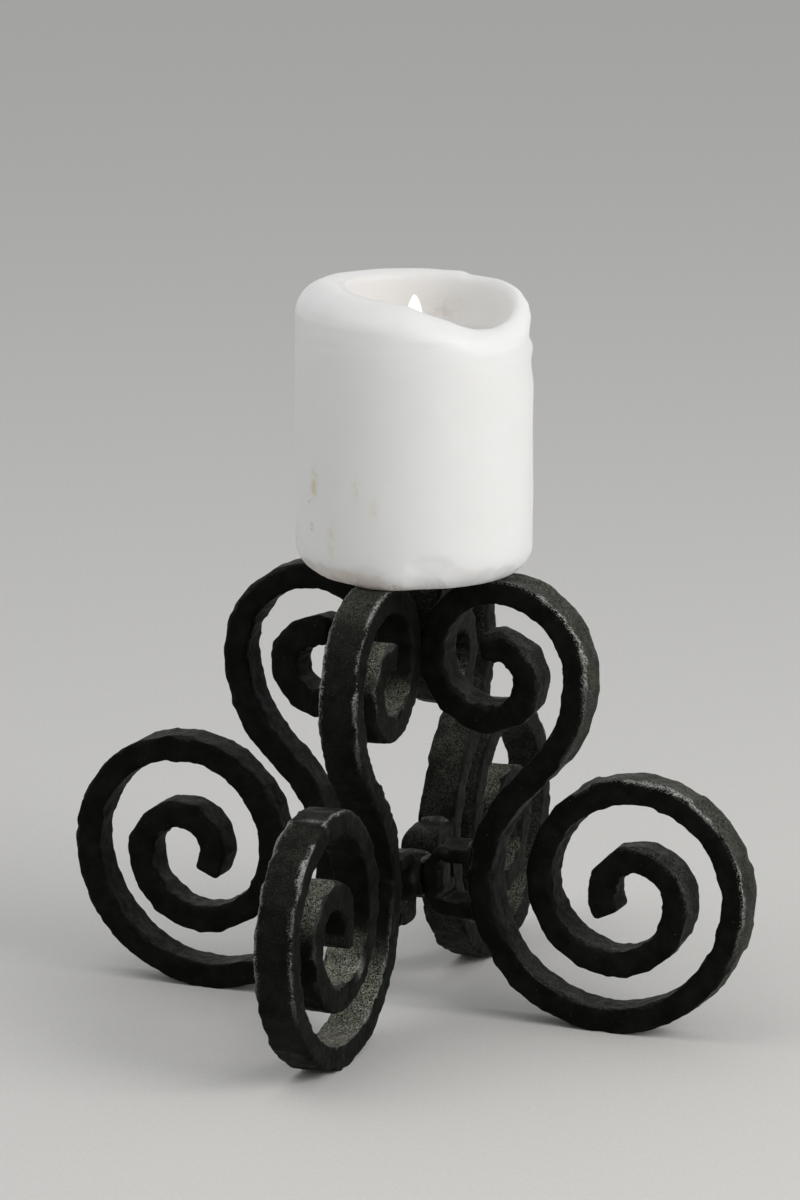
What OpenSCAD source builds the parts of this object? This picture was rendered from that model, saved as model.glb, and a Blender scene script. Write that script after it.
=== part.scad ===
// Low wrought-iron pillar candle stand: four S-scroll legs joined at the waist
// by small C-shaped links round a square core, with the candle that stands on it.
// The origin is on the floor, on the stand's axis. +Z is up, the right-hand leg
// runs along +X and the front leg along -Y.

/* [Leg bar] */
// Width of the leg bar, across the plane of its scrolls
bar_w = 13; // [10:0.5:14]
// Thickness of the leg bar, in the plane of its scrolls
bar_t = 8.5; // [6:0.5:9]
// Hammered-off corner along each long edge of the leg bar
bar_edge = 1.5; // [0.6:0.1:2]
// Longest flat that one hammer blow leaves along the bar
blow_run = 5; // [4:0.5:8]

/* [Foot scroll] */
// Radius of the first quarter turn, from the waist down to the floor
foot_r1 = 44; // [40:0.5:49]
// Radius of the second quarter, from the floor out to the widest point
foot_r2 = 43.5; // [40:0.5:48]
// Radius of the third quarter, up to the top of the foot scroll
foot_r3 = 34.5; // [32:0.5:36]
// Radius of the fourth quarter, back down beside the waist
foot_r4 = 32.5; // [29:0.5:34]
// Radius of the fifth quarter, the inner turn's bottom
foot_r5 = 26; // [23:0.5:28]
// Radius of the sixth quarter, the inner turn's outer side
foot_r6 = 21.5; // [19:0.5:23]
// Radius of the seventh quarter, the inner turn's top
foot_r7 = 14; // [13:0.5:16]
// Radius of the last curl round the eye
foot_r8 = 12; // [10:0.5:13]
// Angle of the last curl
foot_tail = 114; // [90:1:140]
// Depth that the floor has worn off the bottom of each foot
foot_flat = 0.3; // [0.1:0.05:0.6]

/* [Web between the scrolls] */
// How far the web leans outwards from upright
lean = 43; // [36:1:48]
// Radius of the bend from the waist into the leaning web
web_low_r = 42; // [36:0.5:48]
// Radius of the bend from the leaning web into the top scroll
web_high_r = 43.5; // [36:0.5:48]

/* [Top scroll] */
// Radius of the first quarter turn, up to the candle's seat
head_r1 = 28; // [25:0.5:30]
// Radius of the second quarter, down beside the axis
head_r2 = 22.5; // [20:0.5:24]
// Radius of the third quarter, the scroll's bottom
head_r3 = 20.5; // [18:0.5:22]
// Radius of the fourth quarter, the inner turn's outer side
head_r4 = 12.5; // [11:0.5:14]
// Radius of the last curl round the eye
head_r5 = 11.5; // [10.5:0.5:13]
// Angle of the last curl
head_tail = 97; // [70:1:110]
// Depth that the hammer has flattened the seat on top of each scroll
seat_flat = 0.3; // [0.1:0.05:0.6]
// Gap between the hammered edges of neighbouring top scrolls
head_gap = 0.4; // [0.2:0.1:2]

/* [Waist links] */
// Width of the link bar
link_w = 12.5; // [10:0.5:14]
// Thickness of the link bar
link_t = 5.5; // [4:0.5:6.5]
// Hammered-off corner along each long edge of the link bar
link_edge = 1.2; // [0.4:0.1:1.6]
// Height of a link, outside to outside
link_h = 24; // [20:0.5:28]
// Depth of a link, from its back to the inner face of the leg
link_depth = 16; // [13:0.5:20]
// Outside radius of a link's bends
link_bend = 8; // [7:0.5:9.5]
// How far the links' middle lies below the legs' waist
link_drop = 2.5; // [0:0.5:5]
// Gap between the hammered edges of neighbouring links
link_gap = 2.5; // [0.2:0.1:3]

/* [Core and welds] */
// Height of the square core between the backs of the links
core_h = 11; // [6:0.5:14]
// Hammered-off corner along each upright edge of the core
core_edge = 0.8; // [0.3:0.1:1.5]
// Radius of a weld bead between a link and its leg
bead_r = 2; // [1.4:0.1:2.6]
// Radius of a weld bead between a link and the core
core_bead_r = 1.3; // [0.9:0.1:1.6]
// Clearance where two pieces of iron are fitted before welding
weld_gap = 0.1; // [0.05:0.05:0.3]

/* [Candle] */
// Diameter of the pillar candle
candle_d = 78; // [72:1:82]
// Height of the candle as it is now, a few hours burnt down
candle_h = 94.5; // [60:0.5:150]
// How far the candle has been set down off the stand's axis
candle_off = 1.5; // [0:0.5:4]
// Radius of the candle's rounded top edge
rim_round = 8; // [2:0.5:10]
// Radius of the candle's bottom edge
base_round = 9; // [2:0.5:10]
// Radius of the crater that the flame has melted
crater_r = 28; // [22:0.5:30]
// Depth of the crater below the rim
crater_deep = 20; // [15:0.5:26]
// Radius of the crater's inside corner
crater_round = 10; // [4:0.5:12]
// How far the crater lies off the candle's axis
crater_off = 6; // [0:0.5:6]
// Direction of that offset
crater_dir = 20; // [0:5:60]
// Depth of the dip that wax has run over
dip_deep = 10.5; // [4:0.5:13]
// Radius of that dip's curve
dip_r = 34; // [24:1:44]
// Direction of the dip from the axis
dip_dir = -25; // [-70:1:0]

/* [Wick] */
// Diameter of the braided wick
wick_d = 2.4; // [1.6:0.2:3]
// How far the wick stands above the crater's floor
wick_up = 5; // [3:0.5:8]
// Clearance of the wick in its hole
wick_gap = 0.1; // [0.05:0.05:0.2]

/* [Hidden] */

$fn = 64;
IRON = "#1d1d1e";
WELD = "#2a2927";
WAX = "#f1eee8";
WICK = "#2b2622";

RIGHT = 0;    // directions of the four legs
BACK = 90;
LEFT = 180;
FRONT = 270;
SIDES = [RIGHT, BACK, LEFT, FRONT];
QUARTER = 90;
past = 1;                   // how far a cutting shape runs past what it cuts
hundredths = 100;
blow_turn = 12;             // largest turn of the bar from one blow to the next
tip_angles = [35, 65];      // where the rings of a rounded tip lie on its quarter circle
face_round = 128;           // facets of the round that cuts the links to the legs' curve
bead_sink = 0.5;            // how deep a link's weld bead reaches into the corner that it fills

// A hammered edge is cut at 45 degrees, so edges that face each other across a
// diagonal stay a gap apart when the backs stand this far from the axis. The
// result is rounded to a hundredth of a millimetre.
function well_half(width, edge, gap) = round(hundredths * (width / 2 - edge + gap / sqrt(2))) / hundredths;

link_back_r = well_half(link_w, link_edge, link_gap);
waist_r = link_back_r + link_depth + bar_t / 2;      // bar's middle line at the waist
waist_z = foot_r1 + bar_t / 2 - foot_flat;
head_in_r = well_half(bar_w, bar_edge, head_gap);    // inner side of a top scroll
head_x = head_in_r + bar_t / 2 + head_r2 + head_r1;  // bar's outermost line in the top scroll
web_run = (head_x - waist_r - (web_low_r + web_high_r) * (1 - cos(lean))) / sin(lean);
head_z = waist_z + (web_low_r + web_high_r) * sin(lean) + web_run * cos(lean);
seat_z = head_z + head_r1 + bar_t / 2 - seat_flat;   // the candle stands at this height

// A bar's middle line is a walk of steps. A step [radius, sweep] is an arc, and
// a step [0, length] is a straight run. A place on the walk is [x, y, heading].
function arc_centre(p, s) = let(side = sign(s[1]))
    [p[0] - side * s[0] * sin(p[2]), p[1] + side * s[0] * cos(p[2])];
function step_end(p, s) = s[0] == 0
    ? [p[0] + s[1] * cos(p[2]), p[1] + s[1] * sin(p[2]), p[2]]
    : let(c = arc_centre(p, s), side = sign(s[1]), h = p[2] + s[1])
      [c[0] + side * s[0] * sin(h), c[1] - side * s[0] * cos(h), h];
function walk(p, steps, n) = n == 0 ? p : step_end(walk(p, steps, n - 1), steps[n - 1]);

foot_steps = [[foot_r1, QUARTER], [foot_r2, QUARTER], [foot_r3, QUARTER], [foot_r4, QUARTER],
              [foot_r5, QUARTER], [foot_r6, QUARTER], [foot_r7, QUARTER], [foot_r8, foot_tail]];
head_steps = [[web_low_r, -lean], [0, web_run], [web_high_r, lean],
              [head_r1, QUARTER], [head_r2, QUARTER], [head_r3, QUARTER], [head_r4, QUARTER],
              [head_r5, head_tail]];

// The leg's bar is faceted along its length, one flat for each hammer blow.
function arc_length(s) = s[0] * abs(s[1]) * PI / 180;
function blows(s) = s[0] == 0 ? ceil(s[1] / blow_run)
    : ceil(max(arc_length(s) / blow_run, abs(s[1]) / blow_turn));
function step_places(p, s) = let(n = blows(s)) [for (i = [1 : n]) step_end(p, [s[0], s[1] * i / n])];
function walk_places(p, steps) = concat([p],
    [for (i = [0 : len(steps) - 1]) each step_places(walk(p, steps, i), steps[i])]);
function turned_back(places) = [for (i = [len(places) - 1 : -1 : 1])
    let(q = places[i]) [q[0], q[1], q[2] - 180]];

// Eight corners of a flat bar's cross-section, its long edges cut off at 45 degrees
function section(thick, width, edge) = let(t = thick / 2, w = width / 2)
    [[t - edge, -w], [t, -w + edge], [t, w - edge], [t - edge, w],
     [-t + edge, w], [-t, w - edge], [-t, -w + edge], [-t + edge, -w]];

// The leg's cross-section at a place, drawn in to a share of its size
function ring(q, share) = [for (c = section(bar_t, bar_w, bar_edge))
    [q[0] - c[0] * share * sin(q[2]), q[1] + c[0] * share * cos(q[2]), c[1] * (1 + share) / 2]];

// Rings that round off the bar's end at place q. The heading points out of the end when way is 1.
function tip_rings(q, way) = [for (a = tip_angles) let(out = way * bar_t / 2 * sin(a))
    ring([q[0] + out * cos(q[2]), q[1] + out * sin(q[2]), q[2]], cos(a))];
function reversed(list) = [for (i = [len(list) - 1 : -1 : 0]) list[i]];

link_line_r = link_bend - link_t / 2;                // bend radius of the link bar's middle line
link_line_h = link_h - link_t;
link_arm = link_depth - link_bend;                   // straight part of an arm, up to the leg
link_z = waist_z - link_drop;
link_steps = [[0, link_arm + past], [link_line_r, QUARTER], [0, link_line_h - 2 * link_line_r],
              [link_line_r, QUARTER], [0, link_arm + past]];

candle_r = candle_d / 2;
crater_z = candle_h - crater_deep;

// Cross-section of a flat bar
module bar_section(thick, width, edge) {
    polygon(section(thick, width, edge));
}

// Bar along one step of a walk that starts at place p
module bar_step(p, s, thick, width, edge) {
    if (s[0] == 0) {
        translate([p[0], p[1], 0]) rotate([0, 0, p[2] + 90]) rotate([90, 0, 0])
            linear_extrude(s[1]) bar_section(thick, width, edge);
    } else {
        c = arc_centre(p, s);
        from = s[1] > 0 ? p[2] - 90 : p[2] + 90 + s[1];
        translate([c[0], c[1], 0]) rotate([0, 0, from]) rotate_extrude(angle = abs(s[1]))
            translate([s[0], 0]) bar_section(thick, width, edge);
    }
}

// Bar along a whole walk
module bar_walk(start, steps, thick, width, edge) {
    for (i = [0 : len(steps) - 1])
        bar_step(walk(start, steps, i), steps[i], thick, width, edge);
}

// Turns a shape drawn flat into the upright plane of the leg on one side
module upright(side) {
    rotate([0, 0, side]) rotate([90, 0, 0]) children();
}

// The leg's bar in one sweep, from the tip of the top scroll to the tip of the foot scroll
module leg_bar() {
    up = walk_places([waist_r, waist_z, 90], head_steps);
    down = walk_places([waist_r, waist_z, 270], foot_steps);
    places = concat(turned_back(up), down);
    rings = concat(reversed(tip_rings(places[0], -1)), [for (q = places) ring(q, 1)],
                   tip_rings(places[len(places) - 1], 1));
    corners = len(rings[0]);
    last = len(rings) - 1;
    polyhedron(
        points = [for (r = rings) each r],
        faces = concat(
            [[for (j = [0 : corners - 1]) j]],
            [for (i = [0 : last - 1], j = [0 : corners - 1])
                let(k = (j + 1) % corners)
                [i * corners + j, (i + 1) * corners + j, (i + 1) * corners + k, i * corners + k]],
            [[for (j = [corners - 1 : -1 : 0]) last * corners + j]]),
        convexity = 10);
}

// One S-scroll leg, forged from a single bar
module leg(side) {
    reach = waist_r + foot_r1 + foot_r2 + bar_t;
    color(IRON) difference() {
        upright(side) leg_bar();
        translate([-reach, -reach, -bar_t]) cube([2 * reach, 2 * reach, bar_t]);
        translate([-reach, -reach, seat_z]) cube([2 * reach, 2 * reach, bar_t]);
    }
}

// The leg's inner face along one bend of radius bend_r, from z0 up, and gap more
module bend_face(bend_r, gap, z0, tall, deep) {
    reach = 2 * bend_r;
    translate([waist_r + bend_r, waist_z, -deep / 2]) intersection() {
        cylinder(r = bend_r + bar_t / 2 + gap, h = deep, $fn = face_round);
        translate([-reach, z0, 0]) cube([reach, tall, deep]);
    }
}

// Everything of the leg's bar beyond its inner face at the waist, and gap more
module leg_inner_face(gap, tall, deep) {
    bend_face(foot_r1, gap, -tall, tall, deep);
    bend_face(web_low_r, gap, 0, tall, deep);
}

// The C-shaped bar of a link, each arm running past the leg's inner face
module link_bar(grow) {
    start = [link_back_r + link_depth + past, link_z + link_line_h / 2, 180];
    bar_walk(start, link_steps, link_t + 2 * grow, link_w + 2 * grow, link_edge);
}

// One C-shaped link between a leg's waist and the core
module link(side) {
    color(IRON) upright(side) difference() {
        link_bar(0);
        leg_inner_face(weld_gap, link_h, 2 * link_w);
    }
}

// Square core between the backs of the four links
module core_block() {
    half = link_back_r - weld_gap;
    color(IRON) translate([0, 0, link_z - core_h / 2]) linear_extrude(core_h)
        polygon([[half, -half + core_edge], [half, half - core_edge],
                 [half - core_edge, half], [-half + core_edge, half],
                 [-half, half - core_edge], [-half, -half + core_edge],
                 [-half + core_edge, -half], [half - core_edge, -half]]);
}

// Weld beads where each link's arms meet its leg, above and below
module link_welds() {
    rise = link_h / 2;
    run = link_w - 2 * link_edge;
    color(WELD) for (side = SIDES) upright(side) difference() {
        for (end = [-1, 1])
            translate([link_back_r + link_depth + bead_sink, link_z + end * rise, -run / 2])
                cylinder(r = bead_r, h = run);
        leg_inner_face(weld_gap, link_h, 2 * link_w);
        link_bar(weld_gap);
        translate([link_back_r, link_z - rise + link_t / 2, -link_w])
            cube([link_depth, link_h - link_t, 2 * link_w]);
    }
}

// Weld beads along the core's top and bottom edges, against the backs of the links
module core_welds() {
    half = link_back_r - weld_gap;
    run = 2 * (half - core_edge - core_bead_r);
    color(WELD) for (side = SIDES, end = [-1, 1]) upright(side) difference() {
        translate([half - core_bead_r / 2, link_z + end * core_h / 2, -run / 2])
            cylinder(r = core_bead_r, h = run);
        translate([-half - weld_gap, link_z - core_h / 2 - weld_gap, -half])
            cube([2 * (half + weld_gap), core_h + 2 * weld_gap, 2 * half]);
        link_bar(weld_gap);
    }
}

// Pillar candle: rounded edges, an off-centre crater and a dip in its rim
module candle_wax() {
    color(WAX) translate([candle_off, 0, seat_z]) difference() {
        rotate_extrude() {
            square([candle_r - rim_round, candle_h]);
            translate([0, base_round]) square([candle_r, candle_h - base_round - rim_round]);
            square([candle_r - base_round, candle_h - rim_round]);
            translate([candle_r - rim_round, candle_h - rim_round]) circle(rim_round);
            translate([candle_r - base_round, base_round]) circle(base_round);
        }
        rotate([0, 0, crater_dir]) translate([crater_off, 0, crater_z]) rotate_extrude() {
            square([crater_r - crater_round, crater_deep + past]);
            translate([0, crater_round]) square([crater_r, crater_deep + past - crater_round]);
            translate([crater_r - crater_round, crater_round]) intersection() {
                circle(crater_round);
                translate([0, -crater_round]) square(2 * crater_round);
            }
        }
        rotate([0, 0, dip_dir]) translate([0, 0, candle_h - dip_deep + dip_r]) rotate([0, 90, 0])
            cylinder(r = dip_r, h = candle_r + past);
        translate([0, 0, -past]) cylinder(d = wick_d + 2 * wick_gap, h = candle_h);
    }
}

// Wick, from the candle's base to above the crater's floor
module candle_wick() {
    color(WICK) translate([candle_off, 0, seat_z]) {
        cylinder(d = wick_d, h = crater_z + wick_up - wick_d / 2);
        translate([0, 0, crater_z + wick_up - wick_d / 2]) sphere(d = wick_d);
    }
}

leg(RIGHT);  // leg_right
leg(BACK);  // leg_back
leg(LEFT);  // leg_left
leg(FRONT);  // leg_front
link(RIGHT);  // link_right
link(BACK);  // link_back
link(LEFT);  // link_left
link(FRONT);  // link_front
core_block();
link_welds();
core_welds();
candle_wax();
candle_wick();
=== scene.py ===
"""Visual model of a low wrought-iron candle stand and the pillar candle on it.

Four S-scroll legs are forged from flat bar and joined at the waist by small C-shaped links.
Sizes are in millimetres and angles in degrees unless a name or a docstring says otherwise.
Blender's objects are in metres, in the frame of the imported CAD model.
"""

import itertools
import logging
import math
from collections.abc import Sequence
from dataclasses import dataclass, field
from enum import Enum

import bpy
import numpy as np
from mathutils import Matrix, Vector


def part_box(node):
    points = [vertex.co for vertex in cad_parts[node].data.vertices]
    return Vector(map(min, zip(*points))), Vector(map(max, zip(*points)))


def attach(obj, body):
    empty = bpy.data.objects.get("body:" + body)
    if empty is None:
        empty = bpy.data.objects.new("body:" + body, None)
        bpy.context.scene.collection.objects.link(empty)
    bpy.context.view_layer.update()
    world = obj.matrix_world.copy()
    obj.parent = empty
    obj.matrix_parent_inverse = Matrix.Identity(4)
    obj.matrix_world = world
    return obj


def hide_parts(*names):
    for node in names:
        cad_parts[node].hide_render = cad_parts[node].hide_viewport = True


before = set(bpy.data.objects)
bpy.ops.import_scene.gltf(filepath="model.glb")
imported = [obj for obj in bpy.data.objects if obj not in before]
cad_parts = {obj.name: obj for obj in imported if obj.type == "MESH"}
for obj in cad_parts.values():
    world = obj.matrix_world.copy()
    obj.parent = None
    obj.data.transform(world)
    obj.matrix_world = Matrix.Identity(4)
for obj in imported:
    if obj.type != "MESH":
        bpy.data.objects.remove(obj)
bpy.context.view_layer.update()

MM = 0.001                      # metres in a millimetre
QUARTER, HALF, FULL = 90.0, 180.0, 360.0    # degrees in a quarter, a half and a full turn
CIRCLE = 2 * math.pi
TINY = 1e-6                     # keeps a division away from 0
SEED = 5253                     # every random draw comes from this number

Colour = tuple[float, float, float]
Span = tuple[float, float]
Socket = bpy.types.NodeSocket
Material = bpy.types.Material
Object = bpy.types.Object

log = logging.getLogger("candle_stand")


class Draw(Enum):
    """The random draws, each with the number that sets it apart from the others."""

    LEG_BLOWS = 0
    LEG_GRAIN = 7
    LINK_BLOWS = 31
    LINK_GRAIN = 37
    CORE_BLOWS = 71
    CORE_GRAIN = 73
    WELD_GRAIN = 91
    WAX_GRAIN = 101
    BASE_CHIPS = 113
    CORE_BEADS = 130
    LINK_BEADS = 200
    LEG_STREAKS = 211
    LINK_STREAKS = 223
    CORE_STREAKS = 227

    def seed(self, turn: int = 0) -> int:
        """Number that the draw starts from, for a piece that looks turn degrees from +X."""
        return SEED + self.value + turn


# ---------------------------------------------------------------- shapes


def rise(value: np.ndarray, start: np.ndarray | float = 0.0, over: float = 1.0) -> np.ndarray:
    """Rise smoothly from 0 where value is start to 1 where it is over further on."""
    share = np.clip((value - start) / over, 0.0, 1.0)
    return share * share * (3.0 - 2.0 * share)


def hill(distance: np.ndarray, width: float) -> np.ndarray:
    """Smooth hill of height 1 at distance 0, falling off over width."""
    return np.exp(-0.5 * (distance / width) ** 2)


def turned(angle: np.ndarray, centre: float) -> np.ndarray:
    """Difference from centre to each angle, between -180 and 180."""
    return (angle - centre + HALF) % FULL - HALF


class Grain:
    """Smooth seeded noise in space, the same on every run."""

    CELLS = 512

    def __init__(self, seed: int) -> None:
        """Draw the noise's table.

        Args:
            seed: Number that the draw starts from.
        """
        rng = np.random.default_rng(seed)
        self.order = rng.permutation(self.CELLS)
        self.values = rng.uniform(-1.0, 1.0, self.CELLS)

    def at(self, points: np.ndarray, size: float) -> np.ndarray:
        """Give the noise at points.

        Args:
            points: Places, with x, y and z along the last axis.
            size: Distance across one lump.

        Returns:
            A value between -1 and 1 for each place.
        """
        scaled = points / size
        cell = np.floor(scaled).astype(np.int64)
        share = rise(scaled, cell)
        total = np.zeros(points.shape[:-1])
        for corner in itertools.product((0, 1), repeat=3):
            key = np.zeros(points.shape[:-1], dtype=np.int64)
            weight = np.ones(points.shape[:-1])
            for axis, step in enumerate(corner):
                key = self.order[(key + cell[..., axis] + step) % self.CELLS]
                weight = weight * (share[..., axis] if step else 1.0 - share[..., axis])
            total += weight * self.values[key]
        return total

    def layers(self, points: np.ndarray, coats: Sequence[Span]) -> np.ndarray:
        """Sum of layers of the noise at points, each with its size and its height."""
        return sum(self.at(points, size) * height for size, height in coats)


class Side(Enum):
    """The four sides of the stand, with the direction of each from +X."""

    RIGHT = 0
    BACK = 90
    LEFT = 180
    FRONT = 270

    @property
    def word(self) -> str:
        """Name of the side as the CAD nodes spell it."""
        return self.name.lower()

    def place(self, out: np.ndarray, across: np.ndarray, up: np.ndarray) -> np.ndarray:
        """Turn places in this side's upright plane into places in space.

        Args:
            out: Distance outwards from the stand's axis.
            across: Distance across the upright plane.
            up: Height above the floor.

        Returns:
            Places with x, y and z along the last axis.
        """
        turn = math.radians(self.value)
        east = out * math.cos(turn) - across * math.sin(turn)
        north = out * math.sin(turn) + across * math.cos(turn)
        return np.stack(np.broadcast_arrays(east, north, up), axis=-1)


@dataclass(frozen=True)
class Step:
    """One piece of a bar's middle line: an arc, or a straight run where radius is 0."""

    radius: float
    sweep: float

    def length(self) -> float:
        """Length of the step along the bar."""
        return self.sweep if self.radius == 0 else self.radius * abs(math.radians(self.sweep))

    def run(self, place: np.ndarray, pitch: float) -> np.ndarray:
        """Follow the step from a place.

        Args:
            place: Distance out, height and heading in radians at the start.
            pitch: Longest distance from one new place to the next.

        Returns:
            The new places, without the start.
        """
        count = max(1, math.ceil(self.length() / pitch))
        share = np.arange(1, count + 1) / count
        out, up, heading = place
        if self.radius == 0:
            return np.stack([out + self.sweep * share * math.cos(heading),
                             up + self.sweep * share * math.sin(heading),
                             np.full(count, heading)], axis=1)
        side = math.copysign(1.0, self.sweep)
        centre_out = out - side * self.radius * math.sin(heading)
        centre_up = up + side * self.radius * math.cos(heading)
        turn = heading + math.radians(self.sweep) * share
        return np.stack([centre_out + side * self.radius * np.sin(turn),
                         centre_up - side * self.radius * np.cos(turn), turn], axis=1)


def trace(start: Sequence[float], steps: Sequence[Step], pitch: float) -> np.ndarray:
    """Follow a bar's middle line.

    Args:
        start: Distance out, height and heading in degrees at the start.
        steps: The line's arcs and straight runs in order.
        pitch: Longest distance between places.

    Returns:
        Places as rows of distance out, height and heading in radians.
    """
    places = [np.array([[start[0], start[1], math.radians(start[2])]])]
    for step in steps:
        places.append(step.run(places[-1][-1], pitch))
    return np.concatenate(places)


def in_scene(name: str, data: bpy.types.ID) -> Object:
    """Put Blender's data into the scene.

    Args:
        name: Name of the object.
        data: The mesh, lamp or camera.

    Returns:
        The object that shows it.
    """
    made = bpy.data.objects.new(name, data)
    bpy.context.scene.collection.objects.link(made)
    return made


class Ends(Enum):
    """What becomes of a skin's first and last rows."""

    CAPPED = "capped"
    JOINED = "joined"


class Skin:
    """Closed surface made of grids of points, for one Blender object."""

    def __init__(self) -> None:
        """Start with nothing in the skin."""
        self.points: list[np.ndarray] = []
        self.faces: list[tuple[int, ...]] = []
        self.values: dict[str, list[np.ndarray]] = {}
        self.count = 0

    def add(self, rows: np.ndarray, ends: Ends, values: dict[str, np.ndarray] | None = None) -> None:
        """Add a closed form made of rows that each go once round it.

        Args:
            rows: Points, as rows by columns by x, y and z.
            ends: Whether the end rows are capped or joined to each other.
            values: Numbers for each point that a finish reads, by name.
        """
        height, width = rows.shape[:2]
        points = rows.reshape(-1, 3)
        index = np.arange(height * width).reshape(height, width)
        after = np.roll(index, -1, axis=1)
        if ends is Ends.JOINED:
            quads = np.stack([index, after, np.roll(after, -1, axis=0), np.roll(index, -1, axis=0)], axis=-1)
        else:
            quads = np.stack([index[:-1], after[:-1], after[1:], index[1:]], axis=-1)
        faces = [tuple(quad) for quad in quads.reshape(-1, 4).tolist()]
        if ends is Ends.CAPPED:
            first, last = height * width, height * width + 1
            points = np.concatenate([points, [rows[0].mean(axis=0), rows[-1].mean(axis=0)]])
            faces += [(int(b), int(a), first) for a, b in zip(index[0], after[0])]
            faces += [(int(a), int(b), last) for a, b in zip(index[-1], after[-1])]
        if self._volume(points, faces) < 0:
            faces = [tuple(reversed(face)) for face in faces]
        self.faces += [tuple(corner + self.count for corner in face) for face in faces]
        self.points.append(points)
        for name, value in (values or {}).items():
            flat = value.reshape(-1)
            if ends is Ends.CAPPED:
                flat = np.concatenate([flat, [value[0].mean(), value[-1].mean()]])
            self.values.setdefault(name, []).append(flat)
        self.count += len(points)

    @staticmethod
    def _volume(points: np.ndarray, faces: list[tuple[int, ...]]) -> float:
        """Give the signed volume inside faces, positive where they face outwards.

        Args:
            points: The corners.
            faces: Corner numbers of each face.

        Returns:
            The volume, negative where the faces look inwards.
        """
        total = 0.0
        for size in (3, 4):
            picked = np.array([face for face in faces if len(face) == size], dtype=np.int64)
            for second in range(1, size - 1):
                if len(picked):
                    a, b, c = (points[picked[:, k]] for k in (0, second, second + 1))
                    total += float(np.einsum("ij,ij->", a, np.cross(b, c)))
        return total

    def build(self, name: str, finish: Material, body: str, slot: str | None = None,
              node: str | None = None) -> Object:
        """Make the Blender object and say what it is in the CAD frame.

        Args:
            name: Name of the object.
            finish: Its material.
            body: Body that it moves with.
            slot: CAD material slot that it belongs to; not used.
            node: CAD node that it is shown in place of.

        Returns:
            The object, in metres and linked to the scene.
        """
        mesh = bpy.data.meshes.new(name)
        mesh.from_pydata((np.concatenate(self.points) * MM).tolist(), [], self.faces)
        for key, parts in self.values.items():
            layer = mesh.attributes.new(key, "FLOAT", "POINT")
            layer.data.foreach_set("value", np.concatenate(parts).astype(np.float32))
        mesh.update()
        mesh.shade_smooth()
        mesh.materials.append(finish)
        made = in_scene(name, mesh)
        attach(made, body)
        if node is not None:
            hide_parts(node)
        return made


# ---------------------------------------------------------------- finishes


@dataclass(frozen=True)
class Lumps:
    """Soft noise in a finish."""

    size: float                     # distance across one lump
    detail: float = 2.0             # how many finer layers lie on it
    rough: float = 0.5              # how strong those layers are
    shift: float = 0.0              # metres that set one noise apart from another


@dataclass(frozen=True)
class Band:
    """Values from low to high that a finish maps to a new span, held at its ends."""

    low: float
    high: float
    to_low: float = 0.0
    to_high: float = 1.0


class Nodes:
    """Maker of the nodes of one material or world."""

    def __init__(self, tree: bpy.types.NodeTree) -> None:
        """Empty the tree that the nodes go into."""
        self.tree = tree
        self.tree.nodes.clear()

    def node(self, kind: str, inputs: dict | None = None, **settings: object) -> bpy.types.Node:
        """Add a node.

        Args:
            kind: Blender's name for the node.
            inputs: A number, colour or socket for each input, by name or place.
            settings: The node's own options.

        Returns:
            The node.
        """
        made = self.tree.nodes.new(kind)
        for key, value in settings.items():
            setattr(made, key, value)
        for key, value in (inputs or {}).items():
            if isinstance(value, Socket):
                self.tree.links.new(value, made.inputs[key])
            else:
                made.inputs[key].default_value = value
        return made

    def _maths(self, how: str, first: Socket | float, second: Socket | float) -> Socket:
        """Combine two values in the way that Blender's Math node names."""
        return self.node("ShaderNodeMath", {0: first, 1: second}, operation=how).outputs[0]

    def times(self, first: Socket | float, second: Socket | float) -> Socket:
        """Multiply two values."""
        return self._maths("MULTIPLY", first, second)

    def plus(self, first: Socket | float, second: Socket | float) -> Socket:
        """Add two values."""
        return self._maths("ADD", first, second)

    def greater(self, first: Socket | float, second: Socket | float) -> Socket:
        """Give the greater of two values."""
        return self._maths("MAXIMUM", first, second)


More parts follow.
